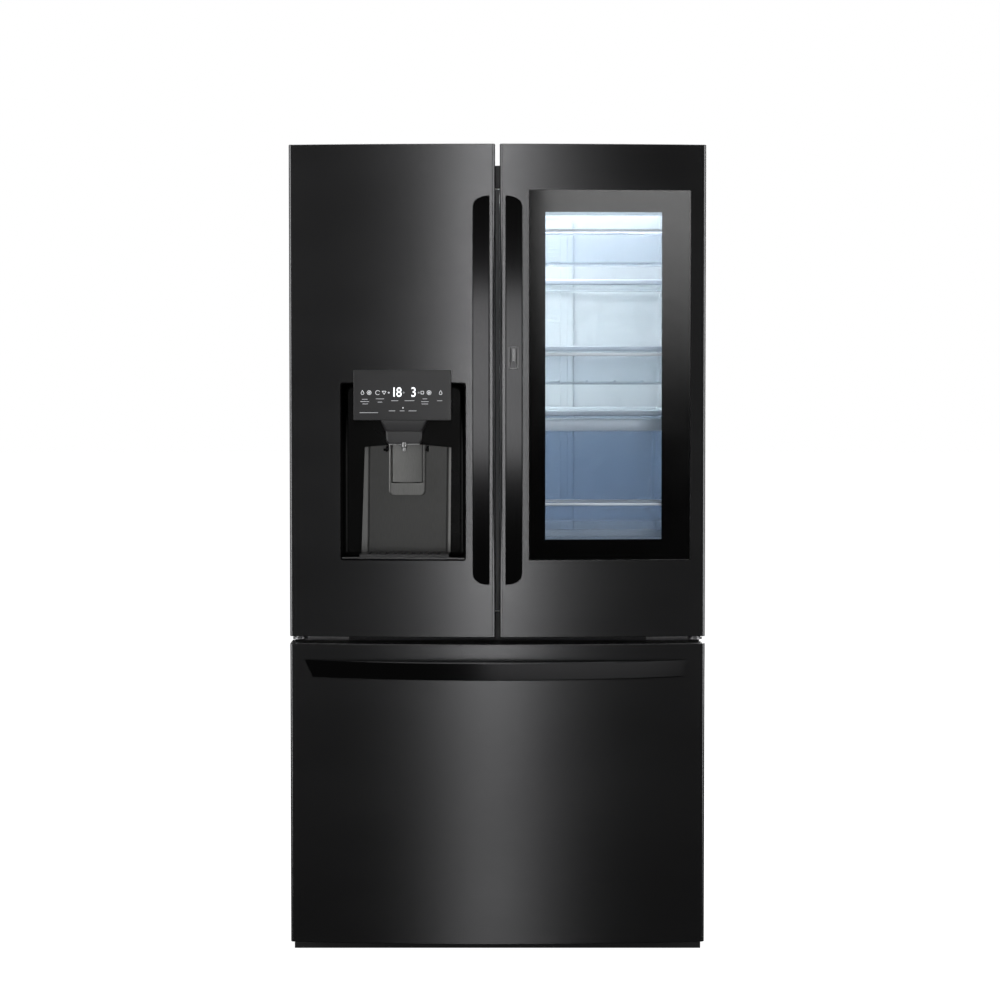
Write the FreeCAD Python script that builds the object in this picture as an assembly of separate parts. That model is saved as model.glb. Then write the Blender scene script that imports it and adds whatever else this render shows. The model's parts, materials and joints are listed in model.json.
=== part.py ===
"""French door refrigerator with a bottom freezer drawer, a door-in-door window leaf and an ice and water dispenser.

Millimetres. +Z is up, the doors face -Y, +X is to the right of a person facing the doors.
The origin lies on the floor under the middle of the whole. Each function below makes one sub-part.
"""
import FreeCAD, Part
import math
import os

V = FreeCAD.Vector

# Case
CASE_HALF = 448.0
CASE_FRONT = -288.0
CASE_BACK = 449.5
CASE_TOP = 1746.0
PANEL = 1.5
BASE_TOP = 95.0
BAY_TOP = 300.0
BAY_FRONT = 245.0

# Compartments, measured at the foam
CAVITY_HALF = 409.0
CAVITY_BACK = 380.0
FRIDGE_FLOOR = 760.0
FRIDGE_TOP = 1696.0
FREEZER_FLOOR = 118.0
FREEZER_TOP = 662.0
FREEZER_STEP_Z = 330.0
FREEZER_STEP_Y = 215.0
LINER = 2.0

# Doors: one shallow bow runs across both upper doors and the drawer
DOOR_HALF = 453.0
DOOR_FRONT = -400.0
DOOR_BOW = 26.0
DOOR_BACK = -300.0
DOOR_TOP = 1784.0
DOOR_BOTTOM = 715.0
DOOR_GAP_HALF = 5.0
DRAWER_TOP = 699.5
DRAWER_BOTTOM = 42.5
SKIN = 1.2
EDGE_R = 6.0
BOW_R = (DOOR_HALF ** 2 + DOOR_BOW ** 2) / (2 * DOOR_BOW)
GASKET_END = CASE_FRONT - 0.4
GASKET_W = 16.0

# Main hinges
HINGE_X = 436.0
HINGE_Y = -318.0
HINGE_PIN_R = 6.0
PIN_PLAY = 0.05
NOTCH_FLOOR = 1743.0
NOTCH_X = 393.0
NOTCH_Y = -350.0
HINGE_PLATE_Z = 703.0
HINGE_PLATE_T = 5.0
HINGE_REACH = 15.0
COVER_REACH = 17.6

# Window leaf on the right door
LEAF_BACK = -340.0
FRAME_FRONT = -334.0
LEAF_HINGE_X = 438.0
LEAF_HINGE_Y = -357.0
LEAF_HINGE_Z = (772.0, 1708.0)
LEAF_PIN_R = 3.0
GLASS_BOX = (67.6, 419.7, 883.0, 1685.0)
GLASS_T = 4.0
WINDOW_BOX = (95.0, 365.0, 920.0, 1645.0)

# Space behind the window: a tube on the right door with three clear bins
TUBE_BOX = (63.0, 397.0, 878.0, 1687.0)
TUBE_WALL = 12.0
TUBE_BACK = -183.0
FRAME_BIN_LEVELS = ((915.0, 1004.0), (1264.0, 1333.0), (1527.0, 1604.0))

# Handles
HANDLE_FRONT = -449.5
HANDLE_T = 15.0
HANDLE_X = (17.0, 54.0)
HANDLE_Z = (830.0, 1672.0)
DRAWER_HANDLE_HALF = 420.0
DRAWER_HANDLE_Z = (627.0, 665.0)
BUTTON_X = (24.0, 45.0)
BUTTON_Z = (1297.0, 1347.0)
BUTTON_PLAY = 0.5

# Dispenser in the left door
NICHE_BOX = (-339.0, -71.0, 885.0, 1266.0)
NICHE_BACK = -308.0
TUB_WALL = 3.0
DISPLAY_BOX = (-312.0, -100.0, 1187.0, 1296.0)
DISPLAY_BACK = -372.0
DISPLAY_PROUD = 4.0
DISPENSE_X = -203.0
PADDLE_Y = -335.0
PADDLE_PIN_Z = 1121.0

# Inner side of the left door
DYKE_BACK = -262.0
DOOR_STORE_BACK = -183.0
DOOR_STORE_X = (-395.0, -75.0)
LEFT_BIN_LEVELS = ((790.0, 880.0), (1020.0, 1110.0))
ICE_ROOM_Z = (1285.0, 1690.0)

# Flip mullion on the left door
MULLION_X = (-58.0, 2.0)
MULLION_Y = (-287.5, -276.0)
MULLION_Z = (776.0, 1680.0)
MULLION_PIVOT = (-56.0, -278.0)

# Shelves and drawers inside the fridge
SHELF_LEVELS = (1204.0, 1350.0, 1500.0)
SHELF_FRONT = -173.0
SHELF_BACK = 350.0
SHELF_T = 12.0
DRAWER_FRONT = -120.0
CRISPER_Z = (948.4, 1185.0)
PANTRY_Z = (762.4, 930.0)

# Freezer
BASKET_Z = (150.0, 400.0)
TRAY_Z = (410.0, 540.0)
RAIL_Z = 322.0

# Machine bay
FAN_Y = 345.0
FAN_Z = 170.0
WHEEL_Y = 380.0
FOOT_X = 370.0
FOOT_Y = -235.0
KICK_HALF = 452.0
KICK_FRONT = -292.0
WHEEL_R = 20.0
WHEEL_X = 423.0
INLET_X = -395.0
INLET_Z = 180.0
INLET_R = 5.56
GLAND_X = 380.0
GLAND_Z = 120.0
GLAND_BORE_R = 4.3


def block(x0, x1, y0, y1, z0, z1):
    """A box between two corners."""
    return Part.makeBox(x1 - x0, y1 - y0, z1 - z0, V(x0, y0, z0))


def rod(radius, start, end):
    """A round bar from one point to another."""
    start = V(*start)
    way = V(*end) - start
    return Part.makeCylinder(radius, way.Length, start, way)


def joined(shapes):
    """One solid from touching or overlapping shapes, with its coplanar faces merged."""
    whole = shapes[0]
    for shape in shapes[1:]:
        whole = whole.fuse(shape)
    return whole.removeSplitter()


def cut_all(shape, cutters):
    for cutter in cutters:
        shape = shape.cut(cutter)
    return shape


def mirrored(shape):
    """The same shape on the other side of the middle plane."""
    return shape.mirror(V(0, 0, 0), V(1, 0, 0))


def both_sides(shape):
    return [shape, mirrored(shape)]


def ring(x0, x1, y0, y1, z0, z1, width):
    """A rectangular frame in the XZ plane, its bars as wide as width."""
    hole = block(x0 + width, x1 - width, y0 - 1, y1 + 1, z0 + width, z1 - width)
    return block(x0, x1, y0, y1, z0, z1).cut(hole)


def tub(x0, x1, y0, y1, z0, z1, wall, front=None):
    """A box open at the top. front is the thickness of the wall that faces the room."""
    front = front or wall
    inside = block(x0 + wall, x1 - wall, y0 + front, y1 - wall, z0 + wall, z1 + 1)
    return block(x0, x1, y0, y1, z0, z1).cut(inside)


def bow(inset=0.0):
    """The upright drum whose side is the bowed front of the doors, moved in by inset."""
    return Part.makeCylinder(BOW_R - inset, DOOR_TOP + 40, V(0, DOOR_FRONT + BOW_R, -20))


def door_blank(x0, x1, z0, z1, back, inset=0.0):
    """A door's outer form: bowed front with rounded upright edges, flat back."""
    body = block(x0 + inset, x1 - inset, DOOR_FRONT - 10, back, z0, z1).common(bow(inset))
    edges = []
    for edge in body.Edges:
        ends = [vertex.Point for vertex in edge.Vertexes]
        upright = abs(ends[0].z - ends[-1].z) > 1 and abs(ends[0].x - ends[-1].x) < 0.01
        if upright and ends[0].y < back - 5:
            edges.append(edge)
    return body.makeFillet(EDGE_R - inset, edges)


def hinge_notch():
    """The space that the right top hinge and its cover need in the door's upper corner."""
    return block(NOTCH_X, DOOR_HALF + 10, NOTCH_Y, DOOR_BACK + 1, NOTCH_FLOOR, DOOR_TOP + 1)


def hinge_bores():
    """The bores for the right door's top and bottom hinge pins, with room for the bottom washer."""
    radius = HINGE_PIN_R + PIN_PLAY
    top = rod(radius, (HINGE_X, HINGE_Y, NOTCH_FLOOR - 25), (HINGE_X, HINGE_Y, NOTCH_FLOOR + 1))
    bottom = rod(radius, (HINGE_X, HINGE_Y, DOOR_BOTTOM - 1), (HINGE_X, HINGE_Y, DOOR_BOTTOM + 27))
    return [top, bottom]


# ---- cabinet ----

def case_panels():
    """The painted steel sheets: two sides, the top and the back."""
    side = block(CASE_HALF - PANEL, CASE_HALF, CASE_FRONT, CASE_BACK - PANEL, 30, CASE_TOP)
    inner = CASE_HALF - PANEL
    top = block(-inner, inner, CASE_FRONT, CASE_BACK - PANEL, CASE_TOP - PANEL, CASE_TOP)
    back = block(-CASE_HALF, CASE_HALF, CASE_BACK - PANEL, CASE_BACK, BAY_TOP, CASE_TOP)
    return both_sides(side) + [top, back]


def front_frame():
    """The steel face that the door seals close against."""
    inner = CASE_HALF - PANEL
    face = block(-inner, inner, CASE_FRONT, CASE_FRONT + PANEL, BASE_TOP, CASE_TOP - PANEL)
    fridge = block(-CAVITY_HALF, CAVITY_HALF, CASE_FRONT - 1, 0, FRIDGE_FLOOR, FRIDGE_TOP)
    freezer = block(-CAVITY_HALF, CAVITY_HALF, CASE_FRONT - 1, 0, FREEZER_FLOOR, FREEZER_TOP)
    return [face.cut(fridge).cut(freezer)]


def fridge_space(inset=0.0):
    half = CAVITY_HALF - inset
    return block(-half, half, CASE_FRONT - 1, CAVITY_BACK - inset, FRIDGE_FLOOR + inset, FRIDGE_TOP - inset)


def freezer_space(inset=0.0):
    """Deep above, and shallower below where the machine bay stands behind it."""
    half = CAVITY_HALF - inset
    step = FREEZER_STEP_Z + inset
    upper = block(-half, half, CASE_FRONT - 1, CAVITY_BACK - inset, step, FREEZER_TOP - inset)
    lower = block(-half, half, CASE_FRONT - 1, FREEZER_STEP_Y - inset, FREEZER_FLOOR + inset, step)
    return joined([upper, lower])


def cabinet_foam():
    inner = CASE_HALF - PANEL
    body = block(-inner, inner, CASE_FRONT + PANEL, CASE_BACK - PANEL, BASE_TOP, CASE_TOP - PANEL)
    bay = block(-inner - 1, inner + 1, BAY_FRONT, CASE_BACK, 0, BAY_TOP)
    return [cut_all(body, [fridge_space(), freezer_space(), bay])]


def liners():
    """The plastic linings of the two compartments."""
    behind_face = block(-500, 500, CASE_FRONT - 2, CASE_FRONT + PANEL, 0, DOOR_TOP)
    fridge = fridge_space().cut(fridge_space(LINER)).cut(behind_face)
    freezer = freezer_space().cut(freezer_space(LINER)).cut(behind_face)
    return [fridge, freezer]


def base_frame():
    """Two channels, a front bar that holds the feet, a rear tray and the roller axles."""
    outer = CASE_HALF - PANEL
    low = 40.0
    sheet = 3.0
    channel = block(400, outer, -280, 440, low, BASE_TOP)
    hollow = block(400 + sheet, outer - sheet, -281, 441, low - 1, BASE_TOP - sheet)
    parts = [channel.cut(hollow)]
    for x0, x1 in ((400, 400 + sheet), (outer - sheet, outer)):
        parts.append(block(x0, x1, WHEEL_Y - 25, WHEEL_Y + 25, 12, low))
    parts.append(rod(3, (400, WHEEL_Y, WHEEL_R), (outer, WHEEL_Y, WHEEL_R)))
    side = joined(parts)
    bar = block(-400, 400, FOOT_Y - 15, FOOT_Y + 15, 60, BASE_TOP)
    for x in (-FOOT_X, FOOT_X):
        bar = bar.cut(rod(5.1, (x, FOOT_Y, 50), (x, FOOT_Y, 92)))
    tray = block(-400, 400, 250, 440, 60, 63)
    return [joined([side, mirrored(side), bar, tray])]


def kick_plate():
    face = block(-KICK_HALF, KICK_HALF, KICK_FRONT, CASE_FRONT - 0.5, 8, 92)
    spigot = block(-KICK_HALF + 6, KICK_HALF - 6, KICK_FRONT, KICK_FRONT + 8, 8, 92)
    plate = joined([face, spigot])
    for i in range(24):
        x = -391 + 34 * i
        for z in (24, 38):
            plate = plate.cut(block(x - 12, x + 12, -300, -280, z, z + 6))
    return [plate]


def front_feet():
    disc = rod(18, (FOOT_X, FOOT_Y, 0), (FOOT_X, FOOT_Y, 8))
    screw = rod(5, (FOOT_X, FOOT_Y, 7), (FOOT_X, FOOT_Y, 91))
    return both_sides(joined([disc, screw]))


def rear_rollers():
    wheel = rod(WHEEL_R, (WHEEL_X - 9, WHEEL_Y, WHEEL_R), (WHEEL_X + 9, WHEEL_Y, WHEEL_R))
    wheel = wheel.cut(rod(3 + PIN_PLAY, (WHEEL_X - 20, WHEEL_Y, WHEEL_R), (WHEEL_X + 20, WHEEL_Y, WHEEL_R)))
    return both_sides(wheel)


def door_hinges():
    """Top hinge plates with pins that point down, and middle brackets with pins that point up."""
    reach = HINGE_REACH
    disc = rod(reach, (HINGE_X, HINGE_Y, CASE_TOP), (HINGE_X, HINGE_Y, CASE_TOP + 4))
    arm = block(HINGE_X - reach, HINGE_X + reach, HINGE_Y, -170, CASE_TOP, CASE_TOP + 4)
    pin = rod(HINGE_PIN_R, (HINGE_X, HINGE_Y, NOTCH_FLOOR - 22), (HINGE_X, HINGE_Y, CASE_TOP + 1))
    top = joined([disc, arm, pin])
    low = HINGE_PLATE_Z
    high = low + HINGE_PLATE_T
    disc = rod(reach, (HINGE_X, HINGE_Y, low), (HINGE_X, HINGE_Y, high))
    arm = block(HINGE_X - reach, CASE_HALF - 1, HINGE_Y, CASE_FRONT, low, high)
    wing = block(330, CASE_HALF - 1, -304, CASE_FRONT, low, high)
    flange = block(330, CASE_HALF - 1, CASE_FRONT - 3, CASE_FRONT, 684, high)
    washer = rod(11, (HINGE_X, HINGE_Y, high), (HINGE_X, HINGE_Y, DOOR_BOTTOM - 0.4))
    pin = rod(HINGE_PIN_R, (HINGE_X, HINGE_Y, high), (HINGE_X, HINGE_Y, DOOR_BOTTOM + 24))
    middle = joined([disc, arm, wing, flange, washer, pin])
    return both_sides(top) + both_sides(middle)


def hinge_covers():
    def form(inset, z0, z1):
        reach = COVER_REACH - inset
        nose = rod(reach, (HINGE_X, HINGE_Y, z0), (HINGE_X, HINGE_Y, z1))
        arm = block(HINGE_X - reach, HINGE_X + reach, HINGE_Y, -150 - inset, z0, z1)
        base = block(395 + inset, HINGE_X + reach, -285 + inset, -150 - inset, z0, z1)
        return joined([nose, arm, base])
    top = 1782.0
    return both_sides(form(0, CASE_TOP, top).cut(form(2, CASE_TOP - 1, top - 2)))


# ---- machine bay ----

def compressor():
    can = Part.makeCylinder(78, 148, V(150, 345, 70))
    rims = [edge for edge in can.Edges if len(edge.Vertexes) == 1]
    can = can.makeFillet(34, rims)
    foot = block(65, 235, 275, 415, 63, 76)
    return [joined([can, foot])]


def condenser():
    """A tube that runs to and fro through a row of fins."""
    parts = []
    for i in range(13):
        x = -330 + 20 * i
        parts.append(block(x, x + 1.5, 270, 425, 66, 262))
    rows = [(y, z) for z in (100, 160, 220) for y in (300, 395)]
    for y, z in rows:
        parts.append(rod(4, (-336, y, z), (-84, y, z)))
    for i in range(len(rows) - 1):
        x = -336 if i % 2 else -84
        (y0, z0), (y1, z1) = rows[i], rows[i + 1]
        parts.append(rod(4, (x, y0, z0), (x, y1, z1)))
        parts.append(Part.makeSphere(4, V(x, y0, z0)))
        parts.append(Part.makeSphere(4, V(x, y1, z1)))
    return [joined(parts)]


def fan_motor():
    motor = rod(22, (-6, FAN_Y, FAN_Z), (30, FAN_Y, FAN_Z))
    shaft = rod(3, (-34, FAN_Y, FAN_Z), (0, FAN_Y, FAN_Z))
    post = block(6, 12, FAN_Y - 15, FAN_Y + 15, 63, FAN_Z)
    return [joined([motor, shaft, post])]


def condenser_fan():
    hub = rod(17, (-30, FAN_Y, FAN_Z), (-9, FAN_Y, FAN_Z))
    parts = [hub]
    for i in range(5):
        blade = block(-21, -18, FAN_Y - 18, FAN_Y + 18, FAN_Z + 12, FAN_Z + 72)
        blade.rotate(V(-19.5, FAN_Y, FAN_Z), V(0, 0, 1), 25)
        blade.rotate(V(0, FAN_Y, FAN_Z), V(1, 0, 0), 72 * i)
        parts.append(blade)
    bore = rod(3 + PIN_PLAY, (-40, FAN_Y, FAN_Z), (0, FAN_Y, FAN_Z))
    return [joined(parts).cut(bore)]


def drain_pan():
    return [tub(60, 240, 268, 422, 220, 250, 2)]


def machine_cover():
    plate = block(-444, 444, 444, 447, 66, BAY_TOP - 2)
    cutters = [rod(20, (INLET_X, 440, INLET_Z), (INLET_X, 450, INLET_Z))]
    cutters.append(rod(9, (GLAND_X, 440, GLAND_Z), (GLAND_X, 450, GLAND_Z)))
    for i in range(16):
        x = -300 + 40 * i
        for z in (110, 165, 220):
            if x < 340:
                cutters.append(block(x - 14, x + 14, 440, 450, z, z + 7))
    return [cut_all(plate, cutters)]


def inlet_valve():
    """The water valve with its threaded inlet in a round recess."""
    body = block(INLET_X - 22, INLET_X + 22, 372, 425, INLET_Z - 28, INLET_Z + 28)
    collar = rod(24, (INLET_X, 425, INLET_Z), (INLET_X, 444, INLET_Z))
    collar = collar.cut(rod(20, (INLET_X, 424, INLET_Z), (INLET_X, 445, INLET_Z)))
    stub = rod(INLET_R, (INLET_X, 424, INLET_Z), (INLET_X, CASE_BACK, INLET_Z))
    stub = stub.cut(rod(2.5, (INLET_X, 430, INLET_Z), (INLET_X, CASE_BACK + 1, INLET_Z)))
    return [joined([body, collar, stub])]


def cord_gland():
    sleeve = rod(9, (GLAND_X, 432, GLAND_Z), (GLAND_X, CASE_BACK - 0.5, GLAND_Z))
    flange = rod(13, (GLAND_X, 447, GLAND_Z), (GLAND_X, CASE_BACK - 0.5, GLAND_Z))
    bore = rod(GLAND_BORE_R, (GLAND_X, 420, GLAND_Z), (GLAND_X, CASE_BACK + 1, GLAND_Z))
    return [joined([sleeve, flange]).cut(bore)]


# ---- inside the compartments ----

def duct_covers():
    """The air duct's panel in the fridge, and the cover of the evaporator in the freezer."""
    duct = block(-190, 190, 362, CAVITY_BACK - LINER, 790, 1670)
    for z in (1280, 1420, 1580):
        for x in (-120, 0, 120):
            duct = duct.cut(block(x - 36, x + 36, 355, 372, z, z + 8))
    plate = block(-406, 406, 296, 300, FREEZER_STEP_Z + LINER, FREEZER_TOP - LINER)
    for i in range(9):
        x = -320 + 80 * i
        plate = plate.cut(block(x - 28, x + 28, 290, 305, 610, 618))
    return [duct, plate]


def evaporator():
    parts = []
    for i in range(21):
        x = -300 + 30 * i
        parts.append(block(x, x + 1.5, 312, 366, 370, 600))
    for z in (400, 455, 510, 565):
        parts.append(rod(4, (-306, 339, z), (306, 339, z)))
    return [joined(parts)]


def shelf_halves(level):
    """The left and right glass shelf of one level, each a frame with its pane."""
    half = CAVITY_HALF - LINER
    frame = block(4, half, SHELF_FRONT, SHELF_BACK, level - SHELF_T, level)
    frame = frame.cut(block(18, half - 14, SHELF_FRONT + 20, SHELF_BACK - 14, level - 20, level + 1))
    pane = block(12, half - 8, SHELF_FRONT + 14, SHELF_BACK - 8, level - 8, level - 4)
    return frame.cut(pane), pane


def shelf_frames():
    parts = []
    for level in SHELF_LEVELS:
        parts += both_sides(shelf_halves(level)[0])
    side_ledge = block(380, CAVITY_HALF - LINER, DRAWER_FRONT, 340, 938, 948)
    middle = block(-30, 30, DRAWER_FRONT + 20, 340, 938, 948)
    rib = block(-4, 4, DRAWER_FRONT + 20, 340, 948, SHELF_LEVELS[0] - SHELF_T)
    return parts + both_sides(side_ledge) + [middle, rib]


def shelf_panes():
    parts = []
    for level in SHELF_LEVELS:
        parts += both_sides(shelf_halves(level)[1])
    return parts


def pull_drawer(x0, x1, z0, z1, back):
    """A clear drawer with a thicker front and a finger groove under its top edge."""
    body = tub(x0, x1, DRAWER_FRONT, back, z0, z1, 3, 14)
    middle = (x0 + x1) / 2
    groove = block(middle - 90, middle + 90, DRAWER_FRONT - 1, DRAWER_FRONT + 9, z1 - 34, z1 - 12)
    return [body.cut(groove)]


def crisper_right():
    return pull_drawer(9, 395, CRISPER_Z[0], CRISPER_Z[1], 330)


def crisper_left():
    return [mirrored(shape) for shape in crisper_right()]


def pantry_drawer():
    return pull_drawer(-398, 398, PANTRY_Z[0], PANTRY_Z[1], 330)


def ceiling_light():
    return [block(-150, 150, -120, 40, 1686, FRIDGE_TOP - LINER)]


def water_filter():
    can = rod(27, (-350, -150, 1655), (-350, 110, 1655))
    cap = rod(30, (-350, -158, 1655), (-350, -120, 1655))
    bracket = block(-368, -332, -80, 90, 1660, FRIDGE_TOP - LINER)
    return [joined([can, cap, bracket])]


def slide_rails():
    """The fixed drawer slides, and above them the ledges that carry the freezer tray."""
    wall = CAVITY_HALF - LINER
    rail = block(wall - 10, wall, -280, 205, RAIL_Z - 22, RAIL_Z + 22)
    ledge = block(385, wall, -255, 290, 413, 423)
    return both_sides(rail) + both_sides(ledge)


def slide_middles():
    return both_sides(block(387.3, 396.7, -285, 195, RAIL_Z - 17, RAIL_Z + 17))


def freezer_tray():
    body = tub(-378, 378, -30, 285, TRAY_Z[0], TRAY_Z[1], 3)
    lips = [block(377, 404, -30, 285, 424, 430)]
    lips.append(mirrored(lips[0]))
    return [joined([body] + lips)]


# ---- left door ----

def tub_outline(grow):
    x0, x1, z0, z1 = NICHE_BOX
    return block(x0 - grow, x1 + grow, DOOR_FRONT - 20, NICHE_BACK + grow, z0 - grow, z1 + grow)


def display_panel():
    x0, x1, z0, z1 = DISPLAY_BOX
    return [block(x0, x1, DOOR_FRONT - 20, DISPLAY_BACK, z0, z1).common(bow(-DISPLAY_PROUD))]


def left_blank(back, inset):
    return door_blank(-DOOR_HALF, -DOOR_GAP_HALF, DOOR_BOTTOM, DOOR_TOP, back, inset)


def left_skin():
    skin = left_blank(DOOR_BACK - 4, 0).cut(left_blank(DOOR_BACK + 1, SKIN))
    return [cut_all(skin, [tub_outline(TUB_WALL), display_panel()[0], mirrored(hinge_notch())])]


def left_core():
    """The foamed body of the left door with its inner liner."""
    core = left_blank(DOOR_BACK, SKIN)
    dyke = block(-400, -62, DOOR_BACK - 5, DYKE_BACK, 766, 1692)
    ear = block(-66, MULLION_PIVOT[0] + 6, -284, -271, 766, 774)
    upper_ear = ear.translated(V(0, 0, 1682 - 766))
    core = joined([core, dyke, ear, upper_ear])
    x, y = MULLION_PIVOT
    cutters = [rod(3 + PIN_PLAY, (x, y, 760), (x, y, 1695))]
    cutters += [tub_outline(TUB_WALL), display_panel()[0], mirrored(hinge_notch())]
    cutters += [mirrored(bore) for bore in hinge_bores()]
    return [cut_all(core, cutters)]


def left_gasket():
    return [mirrored(right_gasket()[0])]


def left_handle():
    return [mirrored(upright_handle())]


def dispenser_tub():
    """The recess, with two ears that carry the paddle's pin."""
    shell = tub_outline(TUB_WALL).common(bow()).cut(tub_outline(0))
    parts = [shell]
    for x in (DISPENSE_X - 48, DISPENSE_X + 43):
        parts.append(block(x, x + 5, PADDLE_Y - 7, NICHE_BACK + 1, PADDLE_PIN_Z - 8, PADDLE_PIN_Z + 8))
    whole = joined(parts)
    bore = rod(3 + PIN_PLAY, (DISPENSE_X - 60, PADDLE_Y, PADDLE_PIN_Z), (DISPENSE_X + 60, PADDLE_Y, PADDLE_PIN_Z))
    return [whole.cut(bore).cut(display_panel()[0])]


def dispenser_spouts():
    """The ice chute, narrower towards its mouth, and the water nozzle in front of it."""
    x = DISPENSE_X
    outline = [(-49, 1187), (49, 1187), (40, 1162), (40, 1138), (34, 1132), (-34, 1132), (-40, 1138), (-40, 1162)]
    points = [V(x + dx, -384, z) for dx, z in outline]
    face = Part.Face(Part.makePolygon(points + [points[0]]))
    chute = face.extrude(V(0, 36, 0))
    chute = chute.cut(block(x - 26, x + 26, -378, -354, 1120, 1190))
    nozzle = joined([rod(5, (x, -391, 1116), (x, -391, 1187)), rod(8, (x, -391, 1150), (x, -391, 1187))])
    nozzle = nozzle.cut(block(x - 50, x + 50, -384, -340, 1100, 1190))
    nozzle = nozzle.cut(rod(2.5, (x, -391, 1100), (x, -391, 1180)))
    return [chute, nozzle]


def dispenser_paddle():
    x = DISPENSE_X
    plate = block(x - 40, x + 40, PADDLE_Y - 3, PADDLE_Y + 3, 1022, PADDLE_PIN_Z)
    corners = []
    for edge in plate.Edges:
        ends = [vertex.Point for vertex in edge.Vertexes]
        if abs(ends[0].y - ends[1].y) > 1 and ends[0].z < 1030:
            corners.append(edge)
    plate = plate.makeFillet(10, corners)
    pin = rod(3, (x - 47, PADDLE_Y, PADDLE_PIN_Z), (x + 47, PADDLE_Y, PADDLE_PIN_Z))
    return [joined([plate, pin])]


def drip_tray():
    x0, x1, z0, z1 = NICHE_BOX
    tray = block(-300, -106, -390, -316, z0, z0 + 10)
    for i in range(9):
        x = -280 + 19 * i
        tray = tray.cut(block(x - 4, x + 4, -382, -324, z0 + 3, z0 + 11))
    return [tray]


def ice_room():
    """The insulated ice compartment with its hatch."""
    x0, x1 = DOOR_STORE_X
    z0, z1 = ICE_ROOM_Z
    body = block(x0, x1, DYKE_BACK, DOOR_STORE_BACK, z0, z1)
    return [body.cut(block(x0 + 5, x1 - 5, DYKE_BACK - 1, DOOR_STORE_BACK - 5, z0 + 5, z1 - 5))]


def ice_bin():
    """The ice bin, and above it the ice maker's tray."""
    x0, x1 = DOOR_STORE_X
    back = DOOR_STORE_BACK - 7
    bin_body = tub(x0 + 7, x1 - 7, DYKE_BACK, back, ICE_ROOM_Z[0] + 7, 1500, 3)
    maker = tub(x0 + 30, x1 - 30, DYKE_BACK, back - 8, 1560, 1610, 4)
    return [bin_body, maker]


def left_bins():
    x0, x1 = DOOR_STORE_X
    return [tub(x0, x1, DYKE_BACK, DOOR_STORE_BACK, z0, z1, 3) for z0, z1 in LEFT_BIN_LEVELS]


def flip_mullion():
    """The bar that closes the gap behind the two doors, with a pin at each end."""
    x, y = MULLION_PIVOT
    bar = block(MULLION_X[0], MULLION_X[1], MULLION_Y[0], MULLION_Y[1], MULLION_Z[0], MULLION_Z[1])
    pin = rod(3, (x, y, 767), (x, y, 1689))
    return [joined([bar, pin])]


# ---- right door ----

def right_frame():
    """The inner door: a plate with a tube through it for the bins behind the window."""
    plate = block(DOOR_GAP_HALF, DOOR_HALF, FRAME_FRONT, DOOR_BACK, DOOR_BOTTOM, DOOR_TOP)
    x0, x1, z0, z1 = TUBE_BOX
    tube = block(x0, x1, DOOR_BACK - 1, TUBE_BACK, z0, z1)
    wall = TUBE_WALL
    hole = block(x0 + wall, x1 - wall, FRAME_FRONT - 1, TUBE_BACK + 1, z0 + wall, z1 - wall)
    whole = joined([plate, tube]).cut(hole)
    return [cut_all(whole, [hinge_notch()] + hinge_bores())]


def right_gasket():
    return [ring(8, 431, DOOR_BACK, GASKET_END, 738, 1718, GASKET_W)]


def frame_bins():
    x0, x1, z0, z1 = TUBE_BOX
    wall = TUBE_WALL + 0.5
    return [tub(x0 + wall, x1 - wall, -330, -200, low, high, 3) for low, high in FRAME_BIN_LEVELS]


def frame_cover():
    """The clear flap that shuts the tube towards the fridge."""
    x0, x1, z0, z1 = TUBE_BOX
    wall = TUBE_WALL
    return [block(x0 + wall, x1 - wall, TUBE_BACK - 3, TUBE_BACK, z0 + wall, z1 - wall)]


def leaf_hinges():
    parts = []
    x, y = LEAF_HINGE_X, LEAF_HINGE_Y
    for z in LEAF_HINGE_Z:
        disc = rod(10, (x, y, z), (x, y, z + 4))
        tongue = block(x - 10, x + 10, y, FRAME_FRONT, z, z + 4)
        foot = block(x - 10, x + 12, FRAME_FRONT - 3, FRAME_FRONT, z - 6, z + 10)
        pin = rod(LEAF_PIN_R, (x, y, z - 16), (x, y, z + 20))
        parts.append(joined([disc, tongue, foot, pin]))
    return parts


def leaf_pockets():
    """The spaces that the leaf's hinge tongues and pins need."""
    x, y = LEAF_HINGE_X, LEAF_HINGE_Y
    pockets = []
    for z in LEAF_HINGE_Z:
        pockets.append(block(x - 12, DOOR_HALF + 5, y - 12, LEAF_BACK + 10, z - 8, z + 12))
        pockets.append(rod(LEAF_PIN_R + PIN_PLAY, (x, y, z - 18), (x, y, z + 22)))
    return pockets


def leaf_blank(back, inset):
    return door_blank(DOOR_GAP_HALF, DOOR_HALF, DOOR_BOTTOM, DOOR_TOP, back, inset)


def outer_pane():
    x0, x1, z0, z1 = GLASS_BOX
    return block(x0, x1, DOOR_FRONT - 10, -350, z0, z1).common(bow()).cut(bow(GLASS_T))


def inner_pane():
    x0, x1, z0, z1 = WINDOW_BOX
    return block(x0 - 7, x1 + 7, -347, -343, z0 - 7, z1 + 7)


def leaf_skin():
    skin = leaf_blank(LEAF_BACK - 8, 0).cut(leaf_blank(LEAF_BACK + 1, SKIN))
    return [cut_all(skin, [outer_pane(), hinge_notch()] + leaf_pockets())]


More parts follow.
